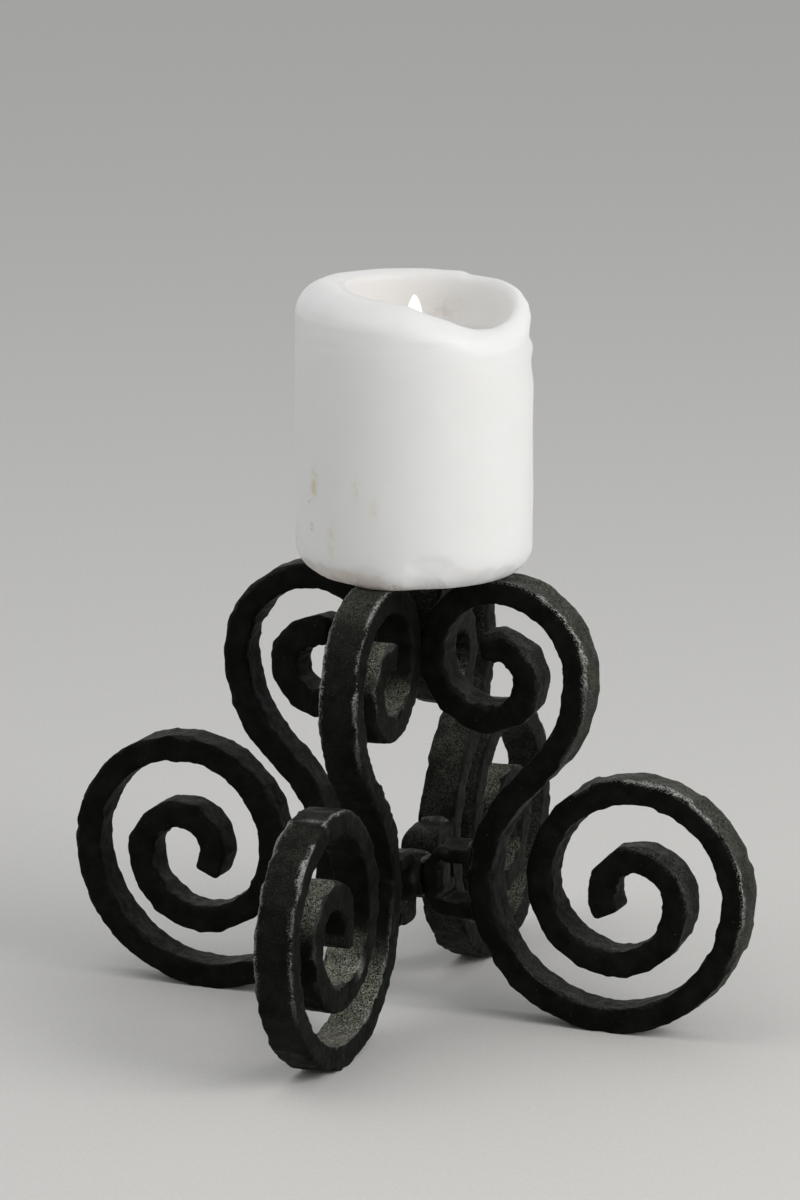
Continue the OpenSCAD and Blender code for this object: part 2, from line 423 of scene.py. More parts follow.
class Shader(Nodes):
    """Maker of one material."""

    ASLANT = (1.0, 0.7, -1.0)       # direction in which one noise is shifted from another
    COLOUR_INPUTS = (6, 7)          # places of the two colours among the Mix node's inputs

    def __init__(self, name: str) -> None:
        """Start an empty material.

        Args:
            name: Name of the material.
        """
        self.material = bpy.data.materials.new(name)
        self.material.use_nodes = True
        super().__init__(self.material.node_tree)
        self.place = self.node("ShaderNodeTexCoord").outputs["Object"]

    def noise(self, lumps: Lumps) -> Socket:
        """Add soft noise.

        Args:
            lumps: Its size and kind.

        Returns:
            The noise's factor, around a half.
        """
        shift = tuple(lumps.shift * part for part in self.ASLANT)
        moved = self.node("ShaderNodeVectorMath", {0: self.place, 1: shift}, operation="ADD").outputs[0]
        return self.node("ShaderNodeTexNoise", {"Vector": moved, "Scale": 1.0 / (lumps.size * MM),
                                                "Detail": lumps.detail, "Roughness": lumps.rough}).outputs[0]

    def grains(self, size: float) -> Socket:
        """Add grains of the given size, each with a value of its own from 0 to 1."""
        cells = self.node("ShaderNodeTexVoronoi", {"Vector": self.place, "Scale": 1.0 / (size * MM)})
        return self.node("ShaderNodeSeparateColor", {0: cells.outputs["Color"]}).outputs[0]

    def span(self, value: Socket, band: Band) -> Socket:
        """Map a value through a band."""
        ends = {1: band.low, 2: band.high, 3: band.to_low, 4: band.to_high}
        return self.node("ShaderNodeMapRange", {0: value, **ends}, interpolation_type="SMOOTHSTEP").outputs[0]

    def mix(self, share: Socket | float, first: Socket | Colour, second: Socket | Colour) -> Socket:
        """Mix two colours.

        Args:
            share: How much of the second colour shows.
            first: The first colour.
            second: The second colour.

        Returns:
            The mixed colour.
        """
        colours = {key: value if isinstance(value, Socket) else (*value, 1.0)
                   for key, value in zip(self.COLOUR_INPUTS, (first, second))}
        return self.node("ShaderNodeMix", {0: share, **colours}, data_type="RGBA").outputs[2]

    def value(self, name: str) -> Socket:
        """Read one of the mesh's own values."""
        return self.node("ShaderNodeAttribute", attribute_name=name).outputs["Fac"]

    def bump(self, height: Socket, depth: float, below: Socket | None = None) -> Socket:
        """Raise the surface by a height map.

        Args:
            height: The map, from 0 to 1.
            depth: How high a 1 stands.
            below: The bump that this one lies on.

        Returns:
            The bumped normal.
        """
        feeds = {"Height": height, "Strength": 1.0, "Distance": depth * MM}
        if below is not None:
            feeds["Normal"] = below
        return self.node("ShaderNodeBump", feeds).outputs[0]

    def finish(self, inputs: dict) -> Material:
        """Close the material with a Principled shader.

        Args:
            inputs: What feeds the shader, by the names of its inputs.

        Returns:
            The material.
        """
        inputs = {key: (*value, 1.0) if isinstance(value, tuple) and "Radius" not in key else value
                  for key, value in inputs.items()}
        shader = self.node("ShaderNodeBsdfPrincipled", inputs)
        self.node("ShaderNodeOutputMaterial", {"Surface": shader.outputs[0]})
        return self.material


@dataclass(frozen=True)
class BlackIron:
    """Blackened hammered iron: smooth sides, sandy scale on the struck faces, rubbed arrises with painted
    highlights.
    """

    name: str = "blackened_iron_finish"
    dark: Colour = (0.0036, 0.0043, 0.0033)
    dull: Colour = (0.0082, 0.0095, 0.0073)
    dull_where: Band = Band(0.35, 0.68)
    pit: Colour = (0.017, 0.018, 0.015)             # pits between the grains of the sandy scale
    scale: Colour = (0.56, 0.56, 0.46)              # the grains; on lit faces they also stand in for the lamp's light
    scale_where: Band = Band(0.36, 0.86)
    scale_patches: Band = Band(0.28, 0.62, 0.55, 1.15)
    speck: Colour = (0.14, 0.14, 0.12)
    speck_where: Band = Band(0.71, 0.77)
    speck_share: float = 0.5
    bare_and_highlight: Colour = (0.50, 0.51, 0.48)               # iron rubbed bright, and painted highlights on the arrises
    bare_where: tuple[Band, Band] = (Band(0.43, 0.58, 0.06, 1.0), Band(0.15, 0.65, 0.20, 1.0))
    glint_where: Band = Band(0.62, 0.90)
    sand: Lumps = Lumps(0.25, 3.0, 0.65, 0.013)
    sand_grains: float = 0.55                       # share of the sand that is separate grains
    sand_depth: float = 0.06
    dimples: Lumps = Lumps(2.6, 2.0, 0.5, 0.027)
    dimple_depth: float = 0.14
    patches: Lumps = Lumps(8.0, 4.0, 0.6, 0.055)
    specks: Lumps = Lumps(0.8, 2.0, 0.6, 0.041)
    crumb: float = 0.34                             # size of the crumbs of scale left on an arris
    glint: float = 0.36                             # size of the painted glints beside it
    roughness: Band = Band(0.3, 0.7, 0.46, 0.62)
    metal: float = 0.8
    shine: float = 0.032

    def material(self) -> Material:
        """Build the iron's material.

        Returns:
            The material.
        """
        shader = Shader(self.name)
        fine = shader.noise(self.sand)
        sand = shader.plus(shader.times(shader.grains(self.sand.size), self.sand_grains),
                           shader.times(fine, 1.0 - self.sand_grains))
        dimples, patches = shader.noise(self.dimples), shader.noise(self.patches)
        side = shader.mix(shader.span(patches, self.dull_where), self.dark, self.dull)
        sandy = shader.mix(shader.span(sand, self.scale_where), self.pit, self.scale)
        scale_and_light = shader.times(shader.value("scale_and_light"), shader.span(patches, self.scale_patches))
        specks = shader.span(shader.noise(self.specks), self.speck_where)
        colour = shader.mix(scale_and_light, side, sandy)
        colour = shader.mix(shader.times(specks, self.speck_share), colour, self.speck)
        broken = shader.times(*(shader.span(value, band) for value, band in
                                zip((fine, shader.grains(self.crumb)), self.bare_where)))
        # painted glints: bright grains beside the arrises where the lamp would catch them
        bright = shader.span(shader.grains(self.glint), self.glint_where)
        glints = shader.times(shader.value("glints"), bright)
        # rubbed arrises in bare iron: wear, and painted highlight where the lamp catches them
        rubbed = shader.greater(shader.times(shader.value("rubbed"), broken), glints)
        normal = shader.bump(sand, self.sand_depth, shader.bump(dimples, self.dimple_depth))
        return shader.finish({"Base Color": shader.mix(rubbed, colour, self.bare_and_highlight), "Normal": normal,
                              "Roughness": shader.span(dimples, self.roughness),
                              "Metallic": shader.times(rubbed, self.metal), "Specular IOR Level": self.shine})


@dataclass(frozen=True)
class WeldScale:
    """Black scale on a rippled weld bead, its ridges rubbed a little."""

    name: str = "weld_metal_finish"
    dark: Colour = (0.020, 0.020, 0.0195)
    rubbed: Colour = (0.16, 0.155, 0.145)
    rubbed_share: float = 0.7
    rubbed_where: Band = Band(0.35, 0.65)
    patches: Lumps = Lumps(2.0, 3.0, 0.6, 0.02)
    sand: Lumps = Lumps(0.35, 3.0, 0.6)
    sand_depth: float = 0.08
    roughness: Band = Band(0.3, 0.7, 0.42, 0.6)
    shine: float = 0.3

    def material(self) -> Material:
        """Build the welds' material.

        Returns:
            The material.
        """
        shader = Shader(self.name)
        sand = shader.noise(self.sand)
        patches = shader.span(shader.noise(self.patches), self.rubbed_where)
        ridge = shader.times(shader.value("ridge"), patches)
        colour = shader.mix(shader.times(ridge, self.rubbed_share), self.dark, self.rubbed)
        return shader.finish({"Base Color": colour, "Roughness": shader.span(sand, self.roughness),
                              "Normal": shader.bump(sand, self.sand_depth), "Specular IOR Level": self.shine})


@dataclass(frozen=True)
class Taint:
    """Colour that one of the mesh's values lays over a finish, broken up by noise."""

    value: str
    colour: Colour
    lumps: Lumps
    where: Band

    def over(self, shader: Shader, colour: Socket) -> Socket:
        """Lay the taint over a colour."""
        share = shader.times(shader.value(self.value), shader.span(shader.noise(self.lumps), self.where))
        return shader.mix(share, colour, self.colour)


@dataclass(frozen=True)
class PillarWax:
    """White paraffin: soft depth, faint mottling, a clearer band round the hollow, and old stains."""

    name: str = "candle_wax_finish"
    white: Colour = (0.88, 0.885, 0.88)
    clear: Colour = (0.80, 0.785, 0.77)
    clear_where: Band = Band(0.35, 0.65, 0.0, 0.12)
    clear_hollow: float = 0.75      # share of the clear colour round the hollow
    mottle: Lumps = Lumps(14.0, 3.0, 0.55)
    taints: tuple[Taint, ...] = (
        Taint("stain", (0.72, 0.65, 0.43), Lumps(1.6, 3.0, 0.6, 0.05), Band(0.35, 0.6)),
        Taint("bruise", (0.80, 0.71, 0.64), Lumps(5.0, 3.0, 0.6, 0.11), Band(0.3, 0.6, 0.6, 1.0)),
        Taint("soot", (0.60, 0.52, 0.47), Lumps(3.0, 3.0, 0.6, 0.13), Band(0.35, 0.65, 0.2, 1.0)),
        Taint("grime", (0.34, 0.27, 0.20), Lumps(1.1, 4.0, 0.65, 0.07), Band(0.46, 0.62)))
    fine: Lumps = Lumps(1.1, 3.0, 0.55, 0.03)
    fine_depth: float = 0.03
    scuffs: Lumps = Lumps(0.8, 4.0, 0.65, 0.15)
    scuff_depth: float = 0.35
    waves: Lumps = Lumps(6.0, 2.0, 0.5, 0.09)
    wave_depth: float = 0.10
    roughness: Band = Band(0.3, 0.7, 0.36, 0.48)
    glow: float = 0.85              # share of the light that goes through the wax
    depth: float = 12.0             # how far it goes
    depths: Colour = (1.0, 0.95, 0.91)
    shine: float = 0.4

    def material(self) -> Material:
        """Build the wax's material.

        Returns:
            The material.
        """
        shader = Shader(self.name)
        fine = shader.noise(self.fine)
        colour = shader.mix(shader.span(shader.noise(self.mottle), self.clear_where), self.white, self.clear)
        colour = shader.mix(shader.times(shader.value("hollow"), self.clear_hollow), colour, self.clear)
        for taint in self.taints:
            colour = taint.over(shader, colour)
        scuffs = shader.times(shader.value("bruise"), shader.noise(self.scuffs))
        waves = shader.bump(shader.noise(self.waves), self.wave_depth)
        normal = shader.bump(fine, self.fine_depth, shader.bump(scuffs, self.scuff_depth, waves))
        return shader.finish({"Base Color": colour, "Roughness": shader.span(fine, self.roughness),
                              "Normal": normal, "Subsurface Weight": self.glow,
                              "Subsurface Scale": self.depth * MM, "Subsurface Radius": self.depths,
                              "Specular IOR Level": self.shine})


@dataclass(frozen=True)
class MoltenWax:
    """The pool of melted wax round the wick: clearer, and as smooth as water."""

    name: str = "molten_wax_finish"
    clear: Colour = (0.83, 0.81, 0.775)
    deep: Colour = (0.77, 0.74, 0.69)
    deep_where: Band = Band(0.35, 0.65)
    clouds: Lumps = Lumps(7.0, 2.0)
    swirls: Lumps = Lumps(9.0, 1.0, 0.5, 0.02)
    swirl_depth: float = 0.05
    roughness: float = 0.08
    glow: float = 0.25              # share of the light that goes through the wax
    depth: float = 4.0              # how far it goes
    depths: Colour = (1.0, 0.75, 0.55)

    def material(self) -> Material:
        """Build the pool's material.

        Returns:
            The material.
        """
        shader = Shader(self.name)
        colour = shader.mix(shader.span(shader.noise(self.clouds), self.deep_where), self.clear, self.deep)
        return shader.finish({"Base Color": colour, "Roughness": self.roughness,
                              "Subsurface Weight": self.glow, "Subsurface Scale": self.depth * MM,
                              "Subsurface Radius": self.depths,
                              "Normal": shader.bump(shader.noise(self.swirls), self.swirl_depth)})


@dataclass(frozen=True)
class CharredCotton:
    """Braided wick: pale and waxy below, charred black above."""

    name: str = "wick_cotton_finish"
    waxed: Colour = (0.42, 0.36, 0.28)
    shaded: Colour = (0.30, 0.25, 0.19)
    shaded_where: Band = Band(0.3, 0.7)
    char: Colour = (0.018, 0.016, 0.015)
    char_where: Band = Band(0.35, 0.75)
    frayed: float = 0.3             # how far the fibres break up the edge of the char
    ember: Colour = (0.20, 0.07, 0.03)
    ember_share: float = 0.8
    fibre: Lumps = Lumps(0.25, 3.0, 0.6)
    fibre_depth: float = 0.08
    roughness: Band = Band(0.0, 1.0, 0.5, 0.9)

    def material(self) -> Material:
        """Build the wick's material.

        Returns:
            The material.
        """
        shader = Shader(self.name)
        fibre = shader.noise(self.fibre)
        burnt = shader.plus(shader.value("burnt"), shader.times(fibre, self.frayed))
        burnt = shader.span(burnt, self.char_where)
        colour = shader.mix(shader.span(fibre, self.shaded_where), self.waxed, self.shaded)
        colour = shader.mix(burnt, colour, self.char)
        colour = shader.mix(shader.times(shader.value("ember"), self.ember_share), colour, self.ember)
        return shader.finish({"Base Color": colour, "Roughness": shader.span(burnt, self.roughness),
                              "Normal": shader.bump(fibre, self.fibre_depth)})


@dataclass(frozen=True)
class FlameGlow:
    """A candle flame: white-hot within, thinning to a faint orange skin."""

    name: str = "flame_glow_finish"
    heart: Colour = (1.0, 0.96, 0.90)
    skin: Colour = (1.0, 0.80, 0.66)
    heart_where: Band = Band(0.0, 0.8)
    brightness: Band = Band(0.0, 0.6, 0.9, 5.0)
    roughness: float = 0.9

    def material(self) -> Material:
        """Build the flame's material.

        Returns:
            The material.
        """
        shader = Shader(self.name)
        heat = shader.value("heat")
        colour = shader.mix(shader.span(heat, self.heart_where), self.skin, self.heart)
        return shader.finish({"Base Color": colour, "Roughness": self.roughness, "Emission Color": colour,
                              "Emission Strength": shader.span(heat, self.brightness),
                              "Specular IOR Level": 0.0})


@dataclass(frozen=True)
class PaleGround:
    """Plain pale studio floor, matt, with the faintest grain."""

    name: str = "pale_floor_finish"
    pale: Colour = (0.80, 0.79, 0.77)
    grain: Colour = (0.77, 0.76, 0.74)
    grain_where: Band = Band(0.35, 0.65)
    lumps: Lumps = Lumps(1.4, 3.0)
    roughness: float = 0.85
    shine: float = 0.2

    def material(self) -> Material:
        """Build the floor's material.

        Returns:
            The material.
        """
        shader = Shader(self.name)
        colour = shader.mix(shader.span(shader.noise(self.lumps), self.grain_where), self.pale, self.grain)
        return shader.finish({"Base Color": colour, "Roughness": self.roughness,
                              "Specular IOR Level": self.shine})


# ---------------------------------------------------------------- forged bars


@dataclass(frozen=True)
class Blows:
    """Marks that the hammer left along one face of a bar."""

    gap: Span               # distance from one blow to the next
    flat: Span              # radius of a blow's hollow as a share of the bar's bend there
    extra: Span             # depth that a blow has beyond what takes it to the next one
    tilt: float             # how far a blow lies off square
    spare: int = 3          # blows beyond those that the bar's length asks for
    proud: float = 0.2      # how far a ridge between two blows may stand out

    def cut(self, along: np.ndarray, bend: np.ndarray,
            rng: np.random.Generator) -> tuple[np.ndarray, np.ndarray]:
        """Strike the face from one end to the other.

        Args:
            along: Distances along the bar, rising from 0.
            bend: Radius of the bar's bend at each distance.
            rng: Where the chance comes from.

        Returns:
            The depth of the face at each distance, and its tilt in radians.
        """
        count = int(along[-1] / self.gap[0]) + self.spare
        gaps = rng.uniform(*self.gap, count)
        marks = np.cumsum(gaps) - self.gap[1]
        scoop = np.interp(marks, along, bend) * rng.uniform(*self.flat, count)
        reach = (gaps + np.roll(gaps, -1)) / 4.0
        depth = reach ** 2 / (2.0 * scoop) + rng.uniform(*self.extra, count)
        tilt = rng.normal(0.0, math.radians(self.tilt), count)
        cuts = depth - (along[:, None] - marks) ** 2 / (2.0 * scoop)
        return np.maximum(cuts.max(axis=1), -self.proud), tilt[cuts.argmax(axis=1)]


SWELLING = (1.0, 0.8, 0.3, 0.8) * 2         # how much of a bar's swelling each face takes
BROAD = Blows((5.5, 9.0), (0.55, 1.0), (0.0, 0.16), 3.0)
NARROW = Blows((6.0, 11.0), (1.2, 2.5), (0.0, 0.12), 2.0)
ARRIS = Blows((3.5, 8.5), (1.1, 2.4), (0.0, 0.14), 6.0)


@dataclass
class ForgedBar:
    """Flat bar with hammered faces and knocked-off long edges, swept along a middle line."""

    thick: float
    width: float
    edge: float
    seed: int
    vigour: float = 1.0             # share of the full depth of every blow
    around: float = 1.0             # distance between points round the section
    arris_points: int = 5           # points across each knocked-off edge
    crispness: float = 52.0         # how tightly the faces meet
    blur: float = 0.45              # how far a ridge between two blows is softened
    blur_points: int = 4            # places on either side that this takes in
    widest_bend: float = 60.0       # bends wider than this are struck as if they were this wide
    levelled: float = 12.0          # distance over which the blows on a face even out
    faces: tuple[Blows, ...] = (BROAD, ARRIS, NARROW, ARRIS) * 2
    # how near a point is to an arris, a brink or a broad face where it starts to count as on one, and
    # how much nearer it surely is
    arris_from: Span = (1.024, 0.016)
    brink_from: Span = (0.94, 0.07)
    broad_from: Span = (0.96, 0.04)

    def _angles(self) -> np.ndarray:
        """Directions of the section's points, evenly spaced along its outline.

        Returns:
            The directions in radians from the section's thick way.
        """
        half_t, half_w, edge = self.thick / 2, self.width / 2, self.edge
        quarter = [(half_t, half_w - edge), (half_t - edge, half_w)]
        corners = quarter + [(-t, w) for t, w in reversed(quarter)]
        corners = np.array(corners + [(-t, -w) for t, w in corners])
        angles = []
        for k, (start, end) in enumerate(zip(corners, np.roll(corners, -1, axis=0))):
            count = max(2, round(float(np.linalg.norm(end - start)) / self.around))
            count = count if k % 2 else self.arris_points
            points = start + (end - start) * (np.arange(count)[:, None] / count)
            angles.append(np.arctan2(points[:, 1], points[:, 0]))
        return np.concatenate(angles)

    def sections(self, along: np.ndarray, turning: np.ndarray, hold: np.ndarray,
                 swell: np.ndarray) -> dict[str, np.ndarray]:
        """Give the section at each place on the bar.

        Args:
            along: Distance of each place along the bar.
            turning: How fast the bar turns there, in radians for each millimetre, left above 0.
            hold: Share of the blows' depth that each place takes.
            swell: How far each broad face stands out beyond the bar's thickness.

        Returns:
            For each point: thick and wide, its distances in the bar's plane and across it; arris,
            how surely it lies on a knocked-off edge; brink, the same with the faces close beside it;
            broad, how surely it lies on a broad face; and out_of_bend, 1 on the side away from the
            bend's centre and -1 towards it.
        """
        rng = np.random.default_rng(self.seed)
        angles = self._angles()
        corner = (self.thick / 2 + self.width / 2 - self.edge) / math.sqrt(2.0)
        reach = [self.thick / 2, corner, self.width / 2, corner] * 2
        bend = 1.0 / np.maximum(np.abs(turning), 1.0 / self.widest_bend)
        pitch = float(np.median(np.diff(along)))
        kernel = hill(np.arange(-self.blur_points, self.blur_points + 1) * pitch, self.blur)
        kernel /= kernel.sum()
        beside = round(self.levelled / pitch)
        level = np.full(2 * beside + 1, 1.0 / (2 * beside + 1))
        near = np.zeros((len(self.faces), along.size, angles.size))
        for k, (blows, offset) in enumerate(zip(self.faces, reach)):
            depth, tilt = blows.cut(along, bend, rng)
            if k % 2 == 0:
                depth -= np.convolve(np.pad(depth, beside, mode="reflect"), level, mode="valid")
            depth -= swell * SWELLING[k]
            depth, tilt = (np.convolve(np.pad(value, self.blur_points, mode="edge"), kernel, mode="valid")
                           for value in (depth * hold * self.vigour, tilt * hold))
            facing = np.cos(angles[None, :] - math.pi / 4 * k - tilt[:, None])
            near[k] = np.maximum(facing, TINY) / (offset - depth)[:, None]
        radius = (near ** self.crispness).sum(axis=0) ** (-1.0 / self.crispness)
        ratio = near[1::2].max(axis=0) / near[::2].max(axis=0)
        side = np.sign(np.cos(angles)) * np.tanh(-turning * self.widest_bend)[:, None]
        return {"thick": radius * np.cos(angles), "wide": radius * np.sin(angles),
                "arris": rise(ratio, *self.arris_from), "brink": rise(ratio, *self.brink_from),
                "broad": rise(near[::4].max(axis=0) / near.max(axis=0), *self.broad_from),
                "out_of_bend": side}


@dataclass(frozen=True)
class Tip:
    """How a bar's end is closed: how far each ring stands out, and its share of the section."""

    out: tuple[float, ...]
    thick: tuple[float, ...]
    width: tuple[float, ...]


BLUNT = Tip((1.2, 1.9, 2.4, 2.75, 2.9, 3.0), (0.985, 0.95, 0.87, 0.74, 0.50, 0.24),
            (0.99, 0.975, 0.93, 0.86, 0.62, 0.30))
SQUARE = Tip((0.02, 0.05, 0.06), (0.99, 0.80, 0.40), (0.99, 0.80, 0.40))
DRESSED = Tip((0.0, 0.25, 0.35), (0.985, 0.95, 0.5), (0.985, 0.95, 0.5))


def distances(places: np.ndarray) -> np.ndarray:
    """Distance of each place along its line."""
    return np.concatenate([[0.0], np.cumsum(np.hypot(*np.diff(places[:, :2], axis=0).T))])


@dataclass(frozen=True)
class GlintNick:
    """Bright nick in the iron, painted as a highlight."""

    along: float                # distance along the bar
    across: float               # distance across it
    run: float                  # half its length
    wide: float                 # half its width
    face: int                   # 1 on the face away from a bend's centre, -1 on the one towards it

    def at(self, form: dict[str, np.ndarray]) -> np.ndarray:
        """Strength of the painted highlight at each point of a sweep."""
        size = hill(form["along"] - self.along, self.run) * hill(form["across"] - self.across, self.wide)
        return size * (form["out_of_bend"] * self.face > 0)


@dataclass(frozen=True)
class PatinaAndLight:
    """Where a bar's scale is light and sandy and its arrises rubbed bright, with painted light and
    highlights.
    """

    outer: float = 0.03         # light scale on the faces away from a bend's centre, with painted light on the legs that face the lamp
    outer_up: float = 0.10      # more of it where such a face looks up: scale, and painted light from above
    inner: float = 0.0          # light scale on the faces towards a bend's centre, with painted light on the lit legs
    inner_up: float = 0.12      # more of it where such a face looks up: scale, and painted light from above
    coil_up: float = 0.0        # more of it on the innermost turns, where their outside looks up and takes painted light
    head_share: float = 1.0     # share of the inner faces' scale that the top scroll has
    crown: float = 0.0          # more scale and painted light on top of the top scroll, beside the candle
    wear_and_highlight_out: float = 0.10    # how bright an arris away from a bend's centre is: wear and painted highlight
    wear_and_highlight_in: float = 0.05     # how bright an arris towards it is: wear and painted highlight
    streak_gap: float = 9.0     # mean distance between the rubbed streaks on an arris
    streak: Span = (1.2, 6.0)   # how far a streak reaches to either side
    streak_share: Span = (0.3, 1.0)     # how bright it is
    between: float = 0.18       # brightness left between the streaks
    glints: float = 0.75        # share of an arris's brightness that the faces beside it have, as painted glints
    glint_nicks: tuple[GlintNick, ...] = ()
    # share at which a face starts to look that way, and how much more it takes until it surely does
    up_from: Span = (0.05, 0.9)
    steep_from: Span = (0.30, 0.65)
    crest_from: Span = (0.7, 0.3)
    out_from: Span = (-0.5, 0.6)
    lit_from_above: Span = (-0.6, 0.8)   # a face that looks down less than this is lit from above and gets painted highlight

    def paint(self, form: dict[str, np.ndarray], seed: int) -> dict[str, np.ndarray]:
        """Tell the finish where the scale, the painted light and highlights, and the rubbed arrises are.

        Args:
            form: What a sweep gives; exposed, the share of the rubbing and painted highlight that each place
            gets; coil, how surely it lies on an innermost turn; and head, how surely on the top scroll.
            seed: Number that the streaks start from.

        Returns:
            For each point: the scale with painted light, the rubbed arrises with painted highlights, and
            the painted glints beside them, each from 0 to 1.
        """
        away, looks_up = 0.5 + 0.5 * form["out_of_bend"], form["looks_up"]
        lift, steep = rise(looks_up, *self.up_from), rise(looks_up, *self.steep_from)
        crest = rise(looks_up, *self.crest_from) * form["head"]
        # the scale grows lighter where faces look up and on the lit legs: scale and painted light
        outer = self.outer + lift * (self.outer_up + self.coil_up * form["coil"]) + self.crown * crest
        inner = (self.inner + steep * self.inner_up) * (1.0 - (1.0 - self.head_share) * form["head"])
        scale_and_light = form["broad"] * (away * outer + (1.0 - away) * inner)
        # arrises that look out and not down catch the lamp: wear and painted highlight
        outward_and_lit = rise(form["looks_out"], *self.out_from) * rise(looks_up, *self.lit_from_above)
        rubbed = away * self.wear_and_highlight_out * outward_and_lit + (1.0 - away) * self.wear_and_highlight_in * lift
        rubbed = form["exposed"] * rubbed
        rng = np.random.default_rng(seed)
        end = form["along"].max()
        count = int(end / self.streak_gap) + 1
        streaks = np.zeros_like(form["across"])
        for over in (form["across"] > 0, form["across"] <= 0):
            spots = rng.uniform(0.0, end, count)
            sizes, shares = rng.uniform(*self.streak, count), rng.uniform(*self.streak_share, count)
            streak = (shares * hill(form["along"] - spots, sizes)).sum(axis=1, keepdims=True)
            streaks += over * np.minimum(self.between + streak, 1.0)
        wear_and_highlight = form["arris"] * rubbed * streaks
        for glint_nick in self.glint_nicks:
            wear_and_highlight = np.maximum(wear_and_highlight, glint_nick.at(form))
        return {"scale_and_light": np.minimum(scale_and_light, 1.0), "rubbed": wear_and_highlight,
                "glints": self.glints * form["brink"] * away * rubbed * streaks}


def sweep(bar: ForgedBar, places: np.ndarray, hold: np.ndarray, tip: Tip,
          swell: np.ndarray | None = None) -> dict[str, np.ndarray]:
    """Sweep a bar along its middle line and close its ends.

    Args:
        bar: The bar.
        places: Rows of distance out, height and heading in radians.
        hold: Share of the blows' depth that each place takes.
        tip: The form of both ends.
        swell: How far each broad face stands out there beyond the bar's thickness.

    Returns:
        For each point: out, across and up, where it lies; arris, brink, broad and out_of_bend, as
        the bar's sections give them; along, the distance along the bar; looks_up and looks_out, how
        far the face there looks up and outwards; and exposed, coil and head, as for a short bar.
    """
    along = distances(places)
    none = np.zeros((along.size, 1))
    part = bar.sections(along, np.gradient(places[:, 2], along), hold, none[:, 0] if swell is None else swell)
    part |= {"along": along[:, None], "exposed": none + 1.0, "coil": none, "head": none, "places": places}
    for row, way in ((0, -1.0), (-1, 1.0)):
        place, out = part["places"][row], np.array(tip.out) * way
        ring = np.stack([place[0] + out * math.cos(place[2]), place[1] + out * math.sin(place[2]),
                         np.full(out.size, place[2])], axis=1)
        share = {"thick": np.array(tip.thick)[:, None], "wide": np.array(tip.width)[:, None]}
        for key, value in part.items():
            end = ring if key == "places" else value[row] * share.get(key, np.ones((out.size, 1)))
            part[key] = np.concatenate([end[::-1], value] if way < 0 else [value, end])
    line, thick = part.pop("places"), part.pop("thick")
    level, upright = np.cos(line[:, 2:]), np.sin(line[:, 2:])
    return {"out": line[:, :1] - thick * upright, "across": part.pop("wide"),
            "up": line[:, 1:2] + thick * level, "looks_up": np.sign(thick) * level,
            "looks_out": -np.sign(thick) * upright, **part}


def roughened(points: np.ndarray, grain: Grain, coats: Sequence[Span],
              crumbly: np.ndarray | float = 0.0) -> np.ndarray:
    """Push the points of a swept form in or out by noise.

    Args:
        points: Rows by columns by x, y and z.
        grain: The noise.
        coats: The size and the height of each layer of noise.
        crumbly: How much more than that each point is pushed.

    Returns:
        The moved points.
    """
    way = points - points.mean(axis=1, keepdims=True)
    way = way / np.maximum(np.linalg.norm(way, axis=-1, keepdims=True), TINY)
    return points + way * (grain.layers(points, coats) * (1.0 + crumbly))[..., None]


def held_in(points: np.ndarray, node: str) -> np.ndarray:
    """Keep points inside the box of a CAD node."""
    low, high = (np.array(corner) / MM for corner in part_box(node))
    return np.clip(points, low, high)


def forged(node: str, points: np.ndarray, values: dict[str, np.ndarray], iron: Material) -> Object:
    """Make the object of a forged piece.

    Args:
        node: CAD node that it is shown in place of.
        points: Its rows of points.
        values: What its patina and painted light give.
        iron: The finish.

    Returns:
        The object.
    """
    skin = Skin()
    skin.add(points, Ends.CAPPED, values)
    return skin.build(f"{node}_forged", iron, "stand", "blackened_iron", node)


# ---------------------------------------------------------------- the stand


# the right and front legs face the key lamp, so their scale and rubbed arrises are set lighter: painted light
# and highlights
PATINAS_AND_LIGHT = {
    Side.RIGHT: PatinaAndLight(outer=0.16, outer_up=0.08, inner_up=0.12, wear_and_highlight_out=0.85, wear_and_highlight_in=0.10,
                       between=0.32, glint_nicks=(GlintNick(109.2, 1.0, 0.6, 1.0, 1),)),
    Side.BACK: PatinaAndLight(outer=0.10, outer_up=0.06, inner=0.09, inner_up=0.30, coil_up=0.42,
                      wear_and_highlight_out=0.4, wear_and_highlight_in=0.15),
    Side.LEFT: PatinaAndLight(outer=0.015, outer_up=0.05, inner_up=0.08, wear_and_highlight_out=0.10, wear_and_highlight_in=0.05),
    Side.FRONT: PatinaAndLight(outer=0.012, outer_up=0.03, inner_up=1.0, coil_up=0.65, head_share=0.6,
                       crown=0.15, wear_and_highlight_out=0.85, wear_and_highlight_in=0.8, streak_gap=8.0, between=0.40,
                       glint_nicks=(GlintNick(413.5, 1.8, 0.7, 2.2, 1), GlintNick(497.6, 6.1, 2.2, 0.5, -1))),
}


